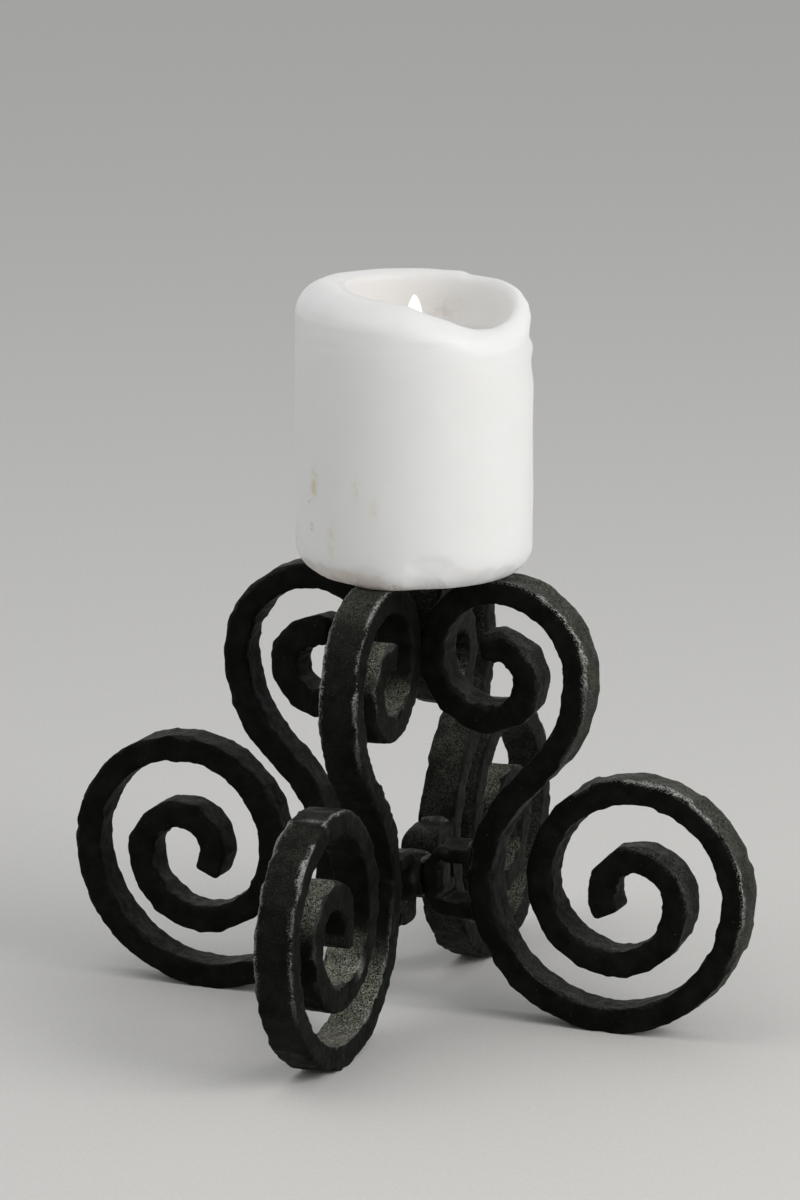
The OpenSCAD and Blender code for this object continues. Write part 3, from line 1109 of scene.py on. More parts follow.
@dataclass
class Leg:
    """One S-scroll leg, forged from a single bar."""

    side: Side
    bar_w: float = 13.0
    bar_t: float = 8.5
    bar_edge: float = 0.65
    waist_r: float = 27.07
    waist_z: float = 47.95
    foot: tuple[float, ...] = (44.0, 43.5, 34.5, 32.5, 26.0, 21.5, 14.0)
    foot_eye: Span = (12.0, 114.0)
    lean: float = 43.0
    web: tuple[float, float, float] = (42.0, 14.649, 43.5)
    head: tuple[float, ...] = (28.0, 22.5, 20.5, 12.5)
    head_eye: Span = (11.5, 97.0)
    pitch: float = 0.7
    grain_coats: tuple[Span, ...] = ((7.0, 0.12), (3.2, 0.14), (1.6, 0.11))
    crumbly: float = 1.3            # how much rougher the arrises are than the faces
    rest_reach: float = 8.0         # how far along the bar a worn flat keeps the hammer off
    tip_swell: Span = (0.55, 0.25)  # how far the head's and the foot's tip are upset by the hammer
    tip_run: float = 38.0           # how far along the bar that reaches
    sheltered: Span = (70.0, 145.0)  # length of the head's and the foot's inner turns
    sheltered_share: float = 0.25   # share of the rubbing and painted highlight that reaches them
    sheltered_fade: float = 15.0    # distance over which the rubbing sets in beyond them
    coils: Span = (34.0, 84.0)      # length of the head's and the foot's innermost turns
    coil_fade: float = 10.0         # distance over which they give way to the next turn
    head_run: float = 150.0         # length of the top scroll
    head_fade: float = 20.0         # distance over which it gives way to the web

    def middle_line(self) -> np.ndarray:
        """Give the bar's middle line, from the top scroll's tip to the foot scroll's tip.

        Returns:
            Rows of distance out, height and heading in radians.
        """
        low, run, high = self.web
        head = [Step(low, -self.lean), Step(0.0, run), Step(high, self.lean)]
        head += [Step(radius, QUARTER) for radius in self.head] + [Step(*self.head_eye)]
        foot = [Step(radius, QUARTER) for radius in self.foot] + [Step(*self.foot_eye)]
        up = trace((self.waist_r, self.waist_z, QUARTER), head, self.pitch)
        down = trace((self.waist_r, self.waist_z, HALF + QUARTER), foot, self.pitch)
        back = up[:0:-1] + np.array([0.0, 0.0, math.pi])
        return np.concatenate([back, down])

    def build(self, iron: Material) -> Object:
        """Forge the leg.

        Args:
            iron: The finish.

        Returns:
            The leg's object.
        """
        places = self.middle_line()
        along = distances(places)
        end, turn = along[-1], self.side.value
        hold = np.ones(along.size)
        for rest in (places[:, 1].argmin(), places[:, 1].argmax()):
            hold *= 1.0 - hill(along - along[rest], self.rest_reach)
        head_swell, foot_swell = self.tip_swell
        swell = head_swell * hill(along, self.tip_run) + foot_swell * hill(end - along, self.tip_run)
        bar = ForgedBar(self.bar_t, self.bar_w, self.bar_edge, Draw.LEG_BLOWS.seed(turn))
        form = sweep(bar, places, hold, BLUNT, swell)

        def between(ends: Span, fade: float) -> np.ndarray:
            """Rise to 1 on the stretch of the bar that is clear of both its ends."""
            return rise(form["along"], ends[0], fade) * rise(end - form["along"], ends[1], fade)

        form["exposed"] = (self.sheltered_share
                           + (1.0 - self.sheltered_share) * between(self.sheltered, self.sheltered_fade))
        form["coil"] = 1.0 - between(self.coils, self.coil_fade)
        form["head"] = rise(self.head_run - form["along"], 0.0, self.head_fade)
        points = roughened(self.side.place(form["out"], form["across"], form["up"]),
                           Grain(Draw.LEG_GRAIN.seed(turn)), self.grain_coats, self.crumbly * form["brink"])
        node = f"leg_{self.side.word}"
        return forged(node, held_in(points, node),
                      PATINAS_AND_LIGHT[self.side].paint(form, Draw.LEG_STREAKS.seed(turn)), iron)


@dataclass
class Link:
    """One C-shaped link, its arms fitted to the leg's inner face."""

    side: Side
    width: float = 12.5
    thick: float = 5.5
    edge: float = 0.7
    height: float = 24.0
    depth: float = 16.0
    bend: float = 8.0
    back_r: float = 6.82
    middle_z: float = 45.45
    bite: float = 0.35              # how far an arm's end sinks into the leg
    pitch: float = 0.7
    vigour: float = 0.8
    grain_coats: tuple[Span, ...] = ((3.0, 0.05), (1.2, 0.03))

    def _leg_face(self, leg: Leg, up: np.ndarray) -> np.ndarray:
        """Give how far out the leg's inner face lies.

        Args:
            leg: The leg that the link is welded to.
            up: Heights.

        Returns:
            The distance from the stand's axis at each height.
        """
        bend = np.where(up < leg.waist_z, leg.foot[0], leg.web[0])
        round_r = bend + leg.bar_t / 2
        return leg.waist_r + bend - np.sqrt(round_r ** 2 - (up - leg.waist_z) ** 2)

    def build(self, leg: Leg, iron: Material) -> Object:
        """Bend the link.

        Args:
            leg: The leg that the link is welded to.
            iron: The finish.

        Returns:
            The link's object.
        """
        line_r, line_h = self.bend - self.thick / 2, self.height - self.thick
        arm, corner = Step(0.0, self.depth - self.bend), Step(line_r, QUARTER)
        start = (self.back_r + self.depth, self.middle_z + line_h / 2, HALF)
        places = trace(start, [arm, corner, Step(0.0, line_h - 2 * line_r), corner, arm], self.pitch)
        turn = self.side.value
        bar = ForgedBar(self.thick, self.width, self.edge, Draw.LINK_BLOWS.seed(turn), self.vigour)
        form = sweep(bar, places, np.ones(len(places)), SQUARE)
        out, up, bent = form["out"], form["up"], self.back_r + self.bend
        reach = self._leg_face(leg, up) + self.bite - bent
        out = np.where(out > bent, bent + (out - bent) * reach / arm.length(), out)
        points = roughened(self.side.place(out, form["across"], up), Grain(Draw.LINK_GRAIN.seed(turn)),
                           self.grain_coats)
        values = PatinaAndLight().paint(form, Draw.LINK_STREAKS.seed(turn))
        return forged(f"link_{self.side.word}", points, values, iron)


@dataclass
class Core:
    """Square block between the backs of the four links."""

    half: float = 6.72
    height: float = 11.0
    edge: float = 0.8
    middle_z: float = 45.45
    pitch: float = 0.7
    vigour: float = 0.35
    grain_coats: tuple[Span, ...] = ((2.0, 0.04),)

    def build(self, iron: Material) -> Object:
        """Forge the core.

        Args:
            iron: The finish.

        Returns:
            The core's object.
        """
        run = self.height - 2 * DRESSED.out[-1]
        places = trace((0.0, self.middle_z - run / 2, QUARTER), [Step(0.0, run)], self.pitch)
        bar = ForgedBar(2 * self.half, 2 * self.half, self.edge, Draw.CORE_BLOWS.seed(), self.vigour)
        form = sweep(bar, places, np.ones(len(places)), DRESSED)
        points = roughened(Side.RIGHT.place(form["out"], form["across"], form["up"]),
                           Grain(Draw.CORE_GRAIN.seed()), self.grain_coats)
        return forged("core_block", points, PatinaAndLight().paint(form, Draw.CORE_STREAKS.seed()), iron)


@dataclass
class WeldRun:
    """A set of rippled weld beads, one above and one below on each side."""

    node: str
    draw: Draw
    radius: float
    run: float                      # length of a bead
    out: float                      # its distance from the stand's axis
    lift: float                     # how far above or below the middle it lies
    middle_z: float = 45.45
    ripple: float = 1.25            # distance from one ripple to the next
    ripple_share: float = 0.10      # how far a ripple stands out, as a share of the radius
    bow: float = 0.45               # how far each ripple bows along the bead
    wander: float = 0.08            # how far the bead's thickness wanders, as a share of the radius
    wander_turns: float = 4.0       # how often it does, in radians for each half of the bead
    wander_shift: float = 6.0       # the most that one bead is ahead of another in it, in radians
    fullness: float = 2.5           # how late the bead thins out towards its ends
    thinnest: float = 0.05          # share of the radius left at its ends
    around: int = 22
    pitch: float = 0.3
    grain_coats: tuple[Span, ...] = ((1.6, 0.08), (0.7, 0.05))

    def _bead(self, side: Side, end: int, rng: np.random.Generator) -> tuple[np.ndarray, np.ndarray]:
        """Lay one bead.

        Args:
            side: Side of the stand that it lies on.
            end: 1 above, -1 below.
            rng: Where the chance comes from.

        Returns:
            The bead's points, and how near each is to the top of a ripple.
        """
        along = np.linspace(-1.0, 1.0, int(self.run / self.pitch))[:, None]
        turn = np.linspace(0.0, CIRCLE, self.around, endpoint=False)[None, :]
        shift = self.bow * np.cos(turn) + rng.uniform(0, 1)
        crest = 0.5 + 0.5 * np.cos(CIRCLE * (along * self.run / 2 + shift) / self.ripple)
        swell = 1.0 + self.wander * np.sin(along * self.wander_turns + rng.uniform(0, self.wander_shift))
        closing = np.sqrt(np.clip(1.0 - np.abs(along) ** self.fullness, self.thinnest ** 2, 1.0))
        radius = self.radius * closing * swell * (1.0 - self.ripple_share * (1.0 - crest))
        up = self.middle_z + end * self.lift + radius * np.sin(turn)
        return side.place(self.out + radius * np.cos(turn), along * self.run / 2, up), crest

    def build(self, scale: Material) -> Object:
        """Lay all the beads.

        Args:
            scale: The finish.

        Returns:
            The beads' object.
        """
        rng = np.random.default_rng(self.draw.seed())
        grain = Grain(Draw.WELD_GRAIN.seed())
        skin = Skin()
        for side, end in itertools.product(Side, (-1, 1)):
            points, crest = self._bead(side, end, rng)
            skin.add(roughened(points, grain, self.grain_coats), Ends.CAPPED, {"ridge": crest})
        return skin.build(f"{self.node}_beads", scale, "stand", "weld_metal", self.node)


@dataclass
class Stand:
    """The iron stand: legs, links, core and welds."""

    iron: BlackIron = field(default_factory=BlackIron)
    scale: WeldScale = field(default_factory=WeldScale)
    welds: tuple[WeldRun, ...] = (WeldRun("link_welds", Draw.LINK_BEADS, 2.0, 10.1, 23.32, 12.0),
                                  WeldRun("core_welds", Draw.CORE_BEADS, 1.3, 9.2, 6.07, 5.5))

    def build(self) -> list[Object]:
        """Build every piece of iron.

        Returns:
            The objects.
        """
        iron, scale = self.iron.material(), self.scale.material()
        legs = [Leg(side) for side in Side]
        made = [leg.build(iron) for leg in legs]
        made += [Link(leg.side).build(leg, iron) for leg in legs]
        made.append(Core().build(iron))
        return made + [run.build(scale) for run in self.welds]


# ---------------------------------------------------------------- the candle


# how a line of values round the candle is softened: angles on either side, and the weight of each
SOFTENING = ((-3.0, 1.0), (-1.5, 3.0), (0.0, 4.0), (1.5, 3.0), (3.0, 1.0))


class Way(Enum):
    """How a stretch of the candle's profile runs from its start to its end."""

    STRAIGHT = "straight"
    LEVEL_FIRST = "a quarter turn that sets out level"
    UPRIGHT_FIRST = "a quarter turn that sets out upright"

    def rows(self, start: Sequence[np.ndarray], end: Sequence[np.ndarray], shares: np.ndarray) -> np.ndarray:
        """Give the rows of a stretch.

        Args:
            start: Distance from the axis and height at the start, each by direction.
            end: The same at the end.
            shares: How far along the stretch each row lies, from 0 to 1.

        Returns:
            Rows by directions by distance and height.
        """
        share = shares[:, None]
        late, early = 1.0 - np.cos(share * CIRCLE / 4), np.sin(share * CIRCLE / 4)
        over = {Way.STRAIGHT: (share, share), Way.LEVEL_FIRST: (early, late),
                Way.UPRIGHT_FIRST: (late, early)}[self]
        return np.stack([a + (b - a) * part for a, b, part in zip(start, end, over)], axis=-1)


@dataclass(frozen=True)
class Chip:
    """Shallow chip in the candle's edge."""

    right: float                # angle right of front
    up: float                   # height above the base
    size: float                 # half its length
    flat: float                 # its length over its height
    depth: float
    steep: float = 1.3          # how steep its sides are

    def at(self, right: np.ndarray, up: np.ndarray, per_degree: float) -> np.ndarray:
        """Depth of the chip at each place, with per_degree the distance round the wall for a degree."""
        away = np.hypot(turned(right, self.right) * per_degree, (up - self.up) * self.flat)
        return self.depth * np.clip(self.steep * (1.0 - (away / self.size) ** 2), 0.0, 1.0)


@dataclass(frozen=True)
class Bulge:
    """Soft bulge of the candle's wall, or a hollow where out is below 0."""

    right: float                # angle right of front
    wide: float                 # degrees over which it falls off to either side
    down: float                 # distance below the candle's top
    tall: float                 # distance over which it falls off up and down
    out: float

    def at(self, right: np.ndarray, down: np.ndarray) -> np.ndarray:
        """How far the wall stands out at each place."""
        return self.out * hill(right - self.right, self.wide) * hill(down - self.down, self.tall)


@dataclass(frozen=True)
class Mark:
    """Soft spot of colour on the candle."""

    right: float                # angle right of front
    up: float                   # height above the base
    size: float                 # distance over which it falls off to either side
    strength: float
    tall: float = 1.0           # its height over its width
    per_degree: float = 0.68    # distance round the candle for a degree

    def at(self, right: np.ndarray, up: np.ndarray) -> np.ndarray:
        """Strength of the mark at each place."""
        away = np.hypot(turned(right, self.right) * self.per_degree, (up - self.up) / self.tall)
        return self.strength * hill(away, self.size)


@dataclass(frozen=True)
class Wick:
    """Braided wick from the candle's base up into the flame."""

    radius: float = 1.2
    up: float = 5.0                 # height above the hollow's floor
    around: int = 28
    rows: tuple[int, int] = (60, 44)            # rows below the hollow's floor and above it
    rows_from: Span = (-1.0, -0.8)              # where the rows below end and those above start
    strands: float = 1.5                        # half the number of strands
    twist: float = 1.1                          # turn of the strands in radians for each millimetre
    core: float = 0.78                          # radius between the strands, as a share
    strand_rise: Span = (0.20, 0.6)             # how far a strand stands out, as a share, and how roundly
    tip: float = 0.97                           # how far the tip closes
    tip_run: float = 1.0
    char_from: Span = (1.5, 1.5)                # where the char starts above the floor, and its run
    crinkle: Span = (0.7, 0.08)                 # size and height of the charred part's crinkles
    apart: float = 50.0                         # sets the two directions of the crinkles apart

    def build(self, candle: "Candle", cotton: Material) -> Object:
        """Braid the wick.

        Args:
            candle: The candle that it stands in.
            cotton: The finish.

        Returns:
            The wick's object.
        """
        floor, top = candle.floor_z, candle.floor_z + self.up
        heights = np.concatenate([np.linspace(0.0, floor + self.rows_from[0], self.rows[0]),
                                  np.linspace(floor + self.rows_from[1], top, self.rows[1])])[:, None]
        turn = np.linspace(0.0, CIRCLE, self.around, endpoint=False)[None, :]
        strands = np.abs(np.sin(self.strands * (turn - heights * self.twist)))
        near_top = rise(heights, top - self.tip_run, self.tip_run)
        stands_out, roundly = self.strand_rise
        closing = np.sqrt(1.0 - self.tip * near_top)
        radius = self.radius * (self.core + stands_out * strands ** roundly) * closing
        charred = rise(heights, floor + self.char_from[0], self.char_from[1])
        points = candle.place(radius, np.degrees(turn), heights)
        size, high = self.crinkle
        points[..., :2] += (charred * (1.0 - near_top))[..., None] * high * np.stack(
            [candle.grain.at(points, size), candle.grain.at(points + self.apart, size)], axis=-1)
        skin = Skin()
        skin.add(held_in(points, "candle_wick"), Ends.CAPPED,
                 {"burnt": charred + 0 * turn, "ember": near_top + 0 * turn})
        return skin.build("candle_wick_braid", cotton, "candle", "wick_cotton", "candle_wick")


@dataclass(frozen=True)
class MeltPool:
    """Melted wax on the hollow's floor."""

    deep: float = 2.0               # depth at which it meets the hollow's wall
    sag: float = 0.35               # how much lower it lies in the open
    climb: Span = (0.5, 0.7)        # how far it climbs the wick, and the run of that
    edge_climb: Span = (0.25, 2.2)  # the same at the wall
    overlap: float = 0.25           # how far it reaches into the wall
    wick_bite: float = 0.05         # how far it reaches into the wick
    sunk: float = 0.15              # how far its underside lies below the hollow's floor
    under_in: float = 0.4           # how far the underside stays in from the edge
    under_up: float = 1.7           # how far the underside rises at its edge
    under_curve: int = 14           # how late it rises
    columns: int = 160
    rows: tuple[int, int] = (26, 10)            # rows on top and underneath

    def build(self, candle: "Candle", molten: Material) -> Object:
        """Fill the hollow's floor with melted wax.

        Args:
            candle: The candle whose hollow it fills.
            molten: The finish.

        Returns:
            The pool's object.
        """
        angle = np.arange(self.columns) * FULL / self.columns
        slope = np.arcsin(1.0 - self.deep / candle.corner_up(angle))
        edge = candle.hollow_reach(angle) - candle.hollow_round * (1.0 - np.cos(slope)) + self.overlap
        inner = candle.wick.radius - self.wick_bite
        (climb, run), (edge_climb, edge_run) = self.climb, self.edge_climb
        rows = []
        for share in np.linspace(0.0, 1.0, self.rows[0]):
            radius = inner + (edge - inner) * share
            lift = climb * hill(radius - inner, run) + edge_climb * hill(edge - radius, edge_run)
            rows.append(candle.place(radius, angle, candle.floor_z + self.deep - self.sag + lift))
        for share in np.linspace(1.0, 0.0, self.rows[1]):
            radius = inner + (edge - inner - self.under_in) * share
            rows.append(candle.place(radius, angle,
                                     candle.floor_z - self.sunk + self.under_up * share ** self.under_curve))
        skin = Skin()
        skin.add(np.array(rows), Ends.JOINED)
        return skin.build("candle_melt_pool", molten, "candle", "candle_wax")


@dataclass(frozen=True)
class Flame:
    """Still candle flame."""

    foot: float = 2.4               # height above the hollow's floor
    tip: float = 16.7
    radius: float = 2.666
    thinnest: float = 0.04
    belly: Span = (0.85, 0.62)      # how low its widest part lies, and how full it is
    skin: float = 1.6               # radius beyond which it is at its hottest
    rows: int = 48
    around: int = 28

    def build(self, candle: "Candle", glow: Material) -> Object:
        """Light the candle.

        Args:
            candle: The candle that it burns on.
            glow: The finish.

        Returns:
            The flame's object.
        """
        share = np.linspace(0.0, 1.0, self.rows)[:, None]
        turn = np.linspace(0.0, FULL, self.around, endpoint=False)[None, :]
        low, full = self.belly
        belly = np.sin(math.pi * share ** low) ** full
        radius = np.maximum(self.radius * belly / belly.max(), self.thinnest)
        heights = candle.floor_z + self.foot + (self.tip - self.foot) * share
        skin = Skin()
        skin.add(candle.place(radius, turn, heights), Ends.CAPPED,
                 {"heat": rise(radius, 0.0, self.skin) + 0 * turn})
        return skin.build("candle_flame", glow, "candle")


@dataclass
class Candle:
    """White pillar candle: melted hollow, run-over dip, knocked and stained base."""

    radius: float = 39.0
    height: float = 94.5
    off: float = 1.5                # how far its axis stands from the stand's, towards +X
    seat_z: float = 148.925
    bore: float = 1.3
    hub_share: float = 0.12         # width of the underside's first ring, as a share of the underside
    profile_rows: tuple[int, ...] = (4, 1, 11, 12, 75, 24, 4, 8, 8, 10, 13)     # in each stretch
    front: float = -68.5            # direction from which the candle is seen in the photo
    columns: int = 360
    # the top edge: how far down and in it is rounded, the latter by angle right of front
    shoulder: float = 9.0
    shoulder_tall: float = 1.6      # its height over how far in it is rounded, at most
    shoulder_line: tuple[Span, ...] = (
        (-180.0, 7.0), (-130.0, 5.5), (-104.0, 8.0), (-84.0, 13.0), (-60.0, 15.0), (70.0, 15.0),
        (110.0, 11.0), (180.0, 7.0))
    # how round the bottom edge is, by angle right of front
    base_line: tuple[Span, ...] = (
        (-180.0, 9.0), (-38.0, 9.0), (-29.0, 6.0), (-24.0, 5.0), (-14.0, 5.0), (-8.0, 6.5), (2.0, 9.0),
        (180.0, 9.0))
    # the hollow
    hollow_r: float = 28.0
    hollow_deep: float = 20.0
    hollow_round: float = 10.0      # roundness of the corner between its wall and its floor
    hollow_off: float = 6.0         # how far its centre lies from the candle's axis
    hollow_dir: float = 20.0        # and in which direction
    # waves round its wall: how many, the shift in radians, and the height
    hollow_waves: tuple[tuple[int, float, float], ...] = ((3, 1.0, 0.3), (7, 0.0, 0.22))
    # direction in which the candle's wall is thicker, the spread of that, and how much thicker
    thick_side: tuple[float, float, float] = (34.0, 30.0, 2.3)
    # how far the rim lies low, by angle right of front
    rim_line: tuple[Span, ...] = (
        (-180.0, 0.0), (-150.0, 0.0), (-120.0, 0.0), (-90.0, 0.0), (-55.0, 0.1), (-40.0, 0.6),
        (-20.0, 1.3), (-6.0, 1.8), (0.0, 2.9), (8.0, 4.7), (19.0, 6.4), (28.0, 8.7), (37.0, 10.2),
        (49.0, 10.5), (64.0, 9.4), (78.0, 7.4), (92.0, 4.8), (108.0, 2.4), (124.0, 1.3), (147.0, 1.3),
        (150.5, 0.2), (180.0, 0.0))
    rim_ripple: float = 0.06
    rim_ripples: int = 13
    # how round the hollow's upper edge is, by angle right of front
    lip_line: tuple[Span, ...] = (
        (-180.0, 2.6), (-140.0, 2.2), (-105.0, 1.0), (-40.0, 0.9), (40.0, 1.5), (90.0, 2.6),
        (140.0, 2.6), (180.0, 2.6))
    lip_share: float = 0.4          # share of the wall's thickness that the lip takes at most
    lip_tall: float = 1.1           # its height over how far in it is rounded
    lip_clear: float = 0.6          # distance kept between the lip and the hollow's corner
    corner_ease: float = 1.0        # how softly the corner gives way to a low rim
    # how far up the base is scraped, by angle right of front, and how deep
    scrape_line: tuple[Span, ...] = (
        (-180.0, -3.0), (-92.0, -3.0), (-84.0, 13.0), (-67.0, 12.0), (-62.0, 9.1), (-56.0, 7.3),
        (-46.0, 6.0), (-29.0, 6.6), (-18.0, 5.5), (-8.5, 2.2), (5.0, 0.6), (20.0, -3.0), (180.0, -3.0))
    scrape_deep: float = 0.4
    scrape_edge: float = 1.0
    chips: tuple[Chip, ...] = (
        Chip(8.0, 8.5, 8.5, 2.1, 0.9), Chip(-24.0, 4.6, 9.5, 2.4, 0.5), Chip(-48.0, 5.0, 7.0, 1.6, 0.35),
        Chip(52.0, 3.5, 6.5, 2.0, 0.6), Chip(86.0, 12.6, 2.0, 1.3, 0.55), Chip(91.0, 9.6, 1.8, 1.0, 0.5))
    small_chips: int = 46
    small_up: Span = (0.0, 5.0)
    small_size: Span = (2.2, 5.5)
    small_flat: float = 1.2
    small_deep: Span = (0.2, 0.7)
    # the wall: where the knocks reach, its slow waves, the notch and the run near the rim, the slump
    # on the right, and the faint level ripples where the wax has softened
    knocked_in: Span = (9.0, 6.0)   # how far in from the wall knocks start, and over what they grow
    waves: tuple[Span, ...] = ((22.0, 0.18), (7.0, 0.10))
    shrunk: float = 0.2
    bulges: tuple[Bulge, ...] = (Bulge(92.0, 7.0, 15.9, 2.0, -0.9), Bulge(93.0, 8.0, 20.5, 2.2, 0.8))
    slump: Span = (90.0, 30.0)      # angle right of front, and how far it spreads
    slump_down: Span = (34.0, 10.0)  # where it starts below the top, and over what it grows
    slump_in: float = 1.0
    ripples: Span = (1.7, 0.18)     # size and height
    ripple_long: float = 0.10       # a ripple's height over its length
    ripple_down: Span = (24.0, 8.0)  # where they start below the top, and over what they grow
    base_up: Span = (2.0, 4.0)      # height of the knocked base, and over what it ends
    base_waves: tuple[Span, ...] = ((11.0, 0.4),)
    flakes: tuple[Span, ...] = ((2.5, 0.22), (1.3, 0.16))
    # colour
    stains: tuple[Mark, ...] = (Mark(-57.0, 33.0, 1.1, 1.2, 2.8), Mark(-29.0, 33.5, 1.1, 0.4, 2.6),
                                Mark(-20.0, 27.0, 1.1, 0.35, 2.4), Mark(-44.0, 15.0, 1.1, 0.45, 5.0))
    grime: tuple[Mark, ...] = (
        Mark(-31.0, 2.6, 1.0, 0.7), Mark(-9.5, 0.8, 1.3, 0.9), Mark(-17.0, 0.2, 1.0, 0.3),
        Mark(-38.0, 1.2, 1.2, 0.4), Mark(14.0, 0.6, 2.0, 0.45), Mark(-64.0, 5.0, 1.2, 0.35),
        Mark(-59.0, 18.4, 0.7, 1.0), Mark(-61.5, 27.0, 0.6, 0.7))
    grime_foot: tuple[float, float, float] = (0.2, 0.3, 1.2)    # strength, height, and fall-off
    soot: Mark = Mark(160.0, 81.0, 4.0, 0.38, per_degree=0.5)
    bruise: float = 0.8
    bruise_edge: float = 1.4
    bruise_up: Span = (8.5, 4.0)    # how high it reaches, and over what it ends
    glow: Span = (0.1, 0.9)         # how clear the wax round the hollow is, and more where it is thick
    glow_wall: Span = (5.0, 11.0)   # thickness at which that starts, and over what it grows
    # how far the colours of the hollow, the soot, the stains and the grime reach past their edges
    glow_past: float = 3.0
    soot_past: float = 2.0
    stain_past: float = 3.0
    grime_past: float = 1.0
    grain: Grain = field(default_factory=lambda: Grain(Draw.WAX_GRAIN.seed()))
    wick: Wick = Wick()
    pool: MeltPool = MeltPool()
    flame: Flame = Flame()

    @property
    def floor_z(self) -> float:
        """Height of the hollow's floor above the candle's base."""
        return self.height - self.hollow_deep

    def place(self, radius: np.ndarray, angle: np.ndarray, up: np.ndarray) -> np.ndarray:
        """Place points given round the candle's axis.

        Args:
            radius: Distances from the candle's axis.
            angle: Directions in degrees from +X.
            up: Heights above the candle's base.

        Returns:
            Places with x, y and z along the last axis.
        """
        turn = np.radians(angle)
        return np.stack(np.broadcast_arrays(self.off + radius * np.cos(turn), radius * np.sin(turn),
                                            self.seat_z + up), axis=-1)

    def _round(self, line: tuple[Span, ...], angle: np.ndarray) -> np.ndarray:
        """Read a line of values round the candle, with its corners softened.

        Args:
            line: Angles right of front in rising order, each with its value.
            angle: Directions in degrees from +X.

        Returns:
            The value at each direction.
        """
        right = turned(angle, self.front)
        shifts, weights = zip(*SOFTENING)
        soft = [np.interp(turned(right + shift, 0.0), *np.array(line).T) for shift in shifts]
        return np.average(soft, axis=0, weights=weights)

    def rim_drop(self, angle: np.ndarray) -> np.ndarray:
        """How far the rim lies below the candle's height in each direction."""
        ripple = np.sin(np.radians(self.rim_ripples * angle))
        return self._round(self.rim_line, angle) + self.rim_ripple * ripple + self.rim_ripple

    def hollow_reach(self, angle: np.ndarray) -> np.ndarray:
        """Give how far the hollow's wall lies from the candle's axis.

        Args:
            angle: Directions in degrees from +X.

        Returns:
            The distance in each direction.
        """
        turn = np.radians(turned(angle, self.hollow_dir))
        reach = self.hollow_off * np.cos(turn) + np.sqrt(
            self.hollow_r ** 2 - (self.hollow_off * np.sin(turn)) ** 2)
        reach += sum(high * np.sin(count * turn + shift) for count, shift, high in self.hollow_waves)
        centre, spread, thicker = self.thick_side
        return reach - thicker * hill(turned(angle, centre), spread)

    def lip_round(self, angle: np.ndarray) -> np.ndarray:
        """Radius of the hollow's upper edge in each direction."""
        most = self.lip_share * (self.radius - self.hollow_reach(angle))
        return np.minimum(self._round(self.lip_line, angle), most)

    def corner_up(self, angle: np.ndarray) -> np.ndarray:
        """Give the height of the round corner between the hollow's wall and its floor.

        Args:
            angle: Directions in degrees from +X.

        Returns:
            The height above the hollow's floor at which the corner ends, which is below a low rim.
        """
        lip_z = self.lip_tall * self.lip_round(angle)
        room = self.height - self.rim_drop(angle) - lip_z - self.floor_z - self.lip_clear
        apart = room - self.hollow_round
        return 0.5 * (self.hollow_round + room - np.sqrt(apart ** 2 + self.corner_ease ** 2))

    def profile(self, angle: np.ndarray) -> tuple[np.ndarray, np.ndarray]:
        """Draw the candle's profile in each direction, round from the bore and back to it.

        Args:
            angle: Directions in degrees from +X.

        Returns:
            Distances from the axis and heights above the base, as rows by directions.
        """
        none = np.zeros_like(angle)
        bore, wall, floor = none + self.bore, none + self.radius, none + self.floor_z
        top = self.height - self.rim_drop(angle)
        reach, lip_r = self.hollow_reach(angle), self.lip_round(angle)
        edge_r = np.minimum(self._round(self.shoulder_line, angle), wall - reach - lip_r)
        edge_z = np.minimum(self.shoulder, self.shoulder_tall * edge_r)
        base = self._round(self.base_line, angle)
        hub = bore + self.hub_share * (wall - base - bore)
        stretches = (       # where each stretch of the profile ends, and its way there
            ((bore, none), Way.STRAIGHT),
            ((hub, none), Way.STRAIGHT),
            ((wall - base, none), Way.STRAIGHT),
            ((wall, base), Way.LEVEL_FIRST),
            ((wall, top - edge_z), Way.STRAIGHT),
            ((wall - edge_r, top), Way.UPRIGHT_FIRST),
            ((reach + lip_r, top), Way.STRAIGHT),
            ((reach, top - self.lip_tall * lip_r), Way.LEVEL_FIRST),
            ((reach, floor + self.corner_up(angle)), Way.STRAIGHT),
            ((reach - self.hollow_round, floor), Way.UPRIGHT_FIRST),
            ((bore, floor), Way.STRAIGHT))
        start = (bore, floor)
        rows = [np.stack([bore, floor], axis=-1)[None]]
        for (end, way), count in zip(stretches, self.profile_rows):
            rows.append(way.rows(start, end, np.linspace(0.0, 1.0, count + 1)[1:]))
            start = end
        rows = np.concatenate(rows)[:-1]
        return rows[..., 0], rows[..., 1]

    def _scraped(self, right: np.ndarray, up: np.ndarray, edge: float) -> np.ndarray:
        """How surely each place lies on the scraped base, whose border is edge wide."""
        return rise(np.interp(right, *np.array(self.scrape_line).T) - up, -edge / 2, edge)

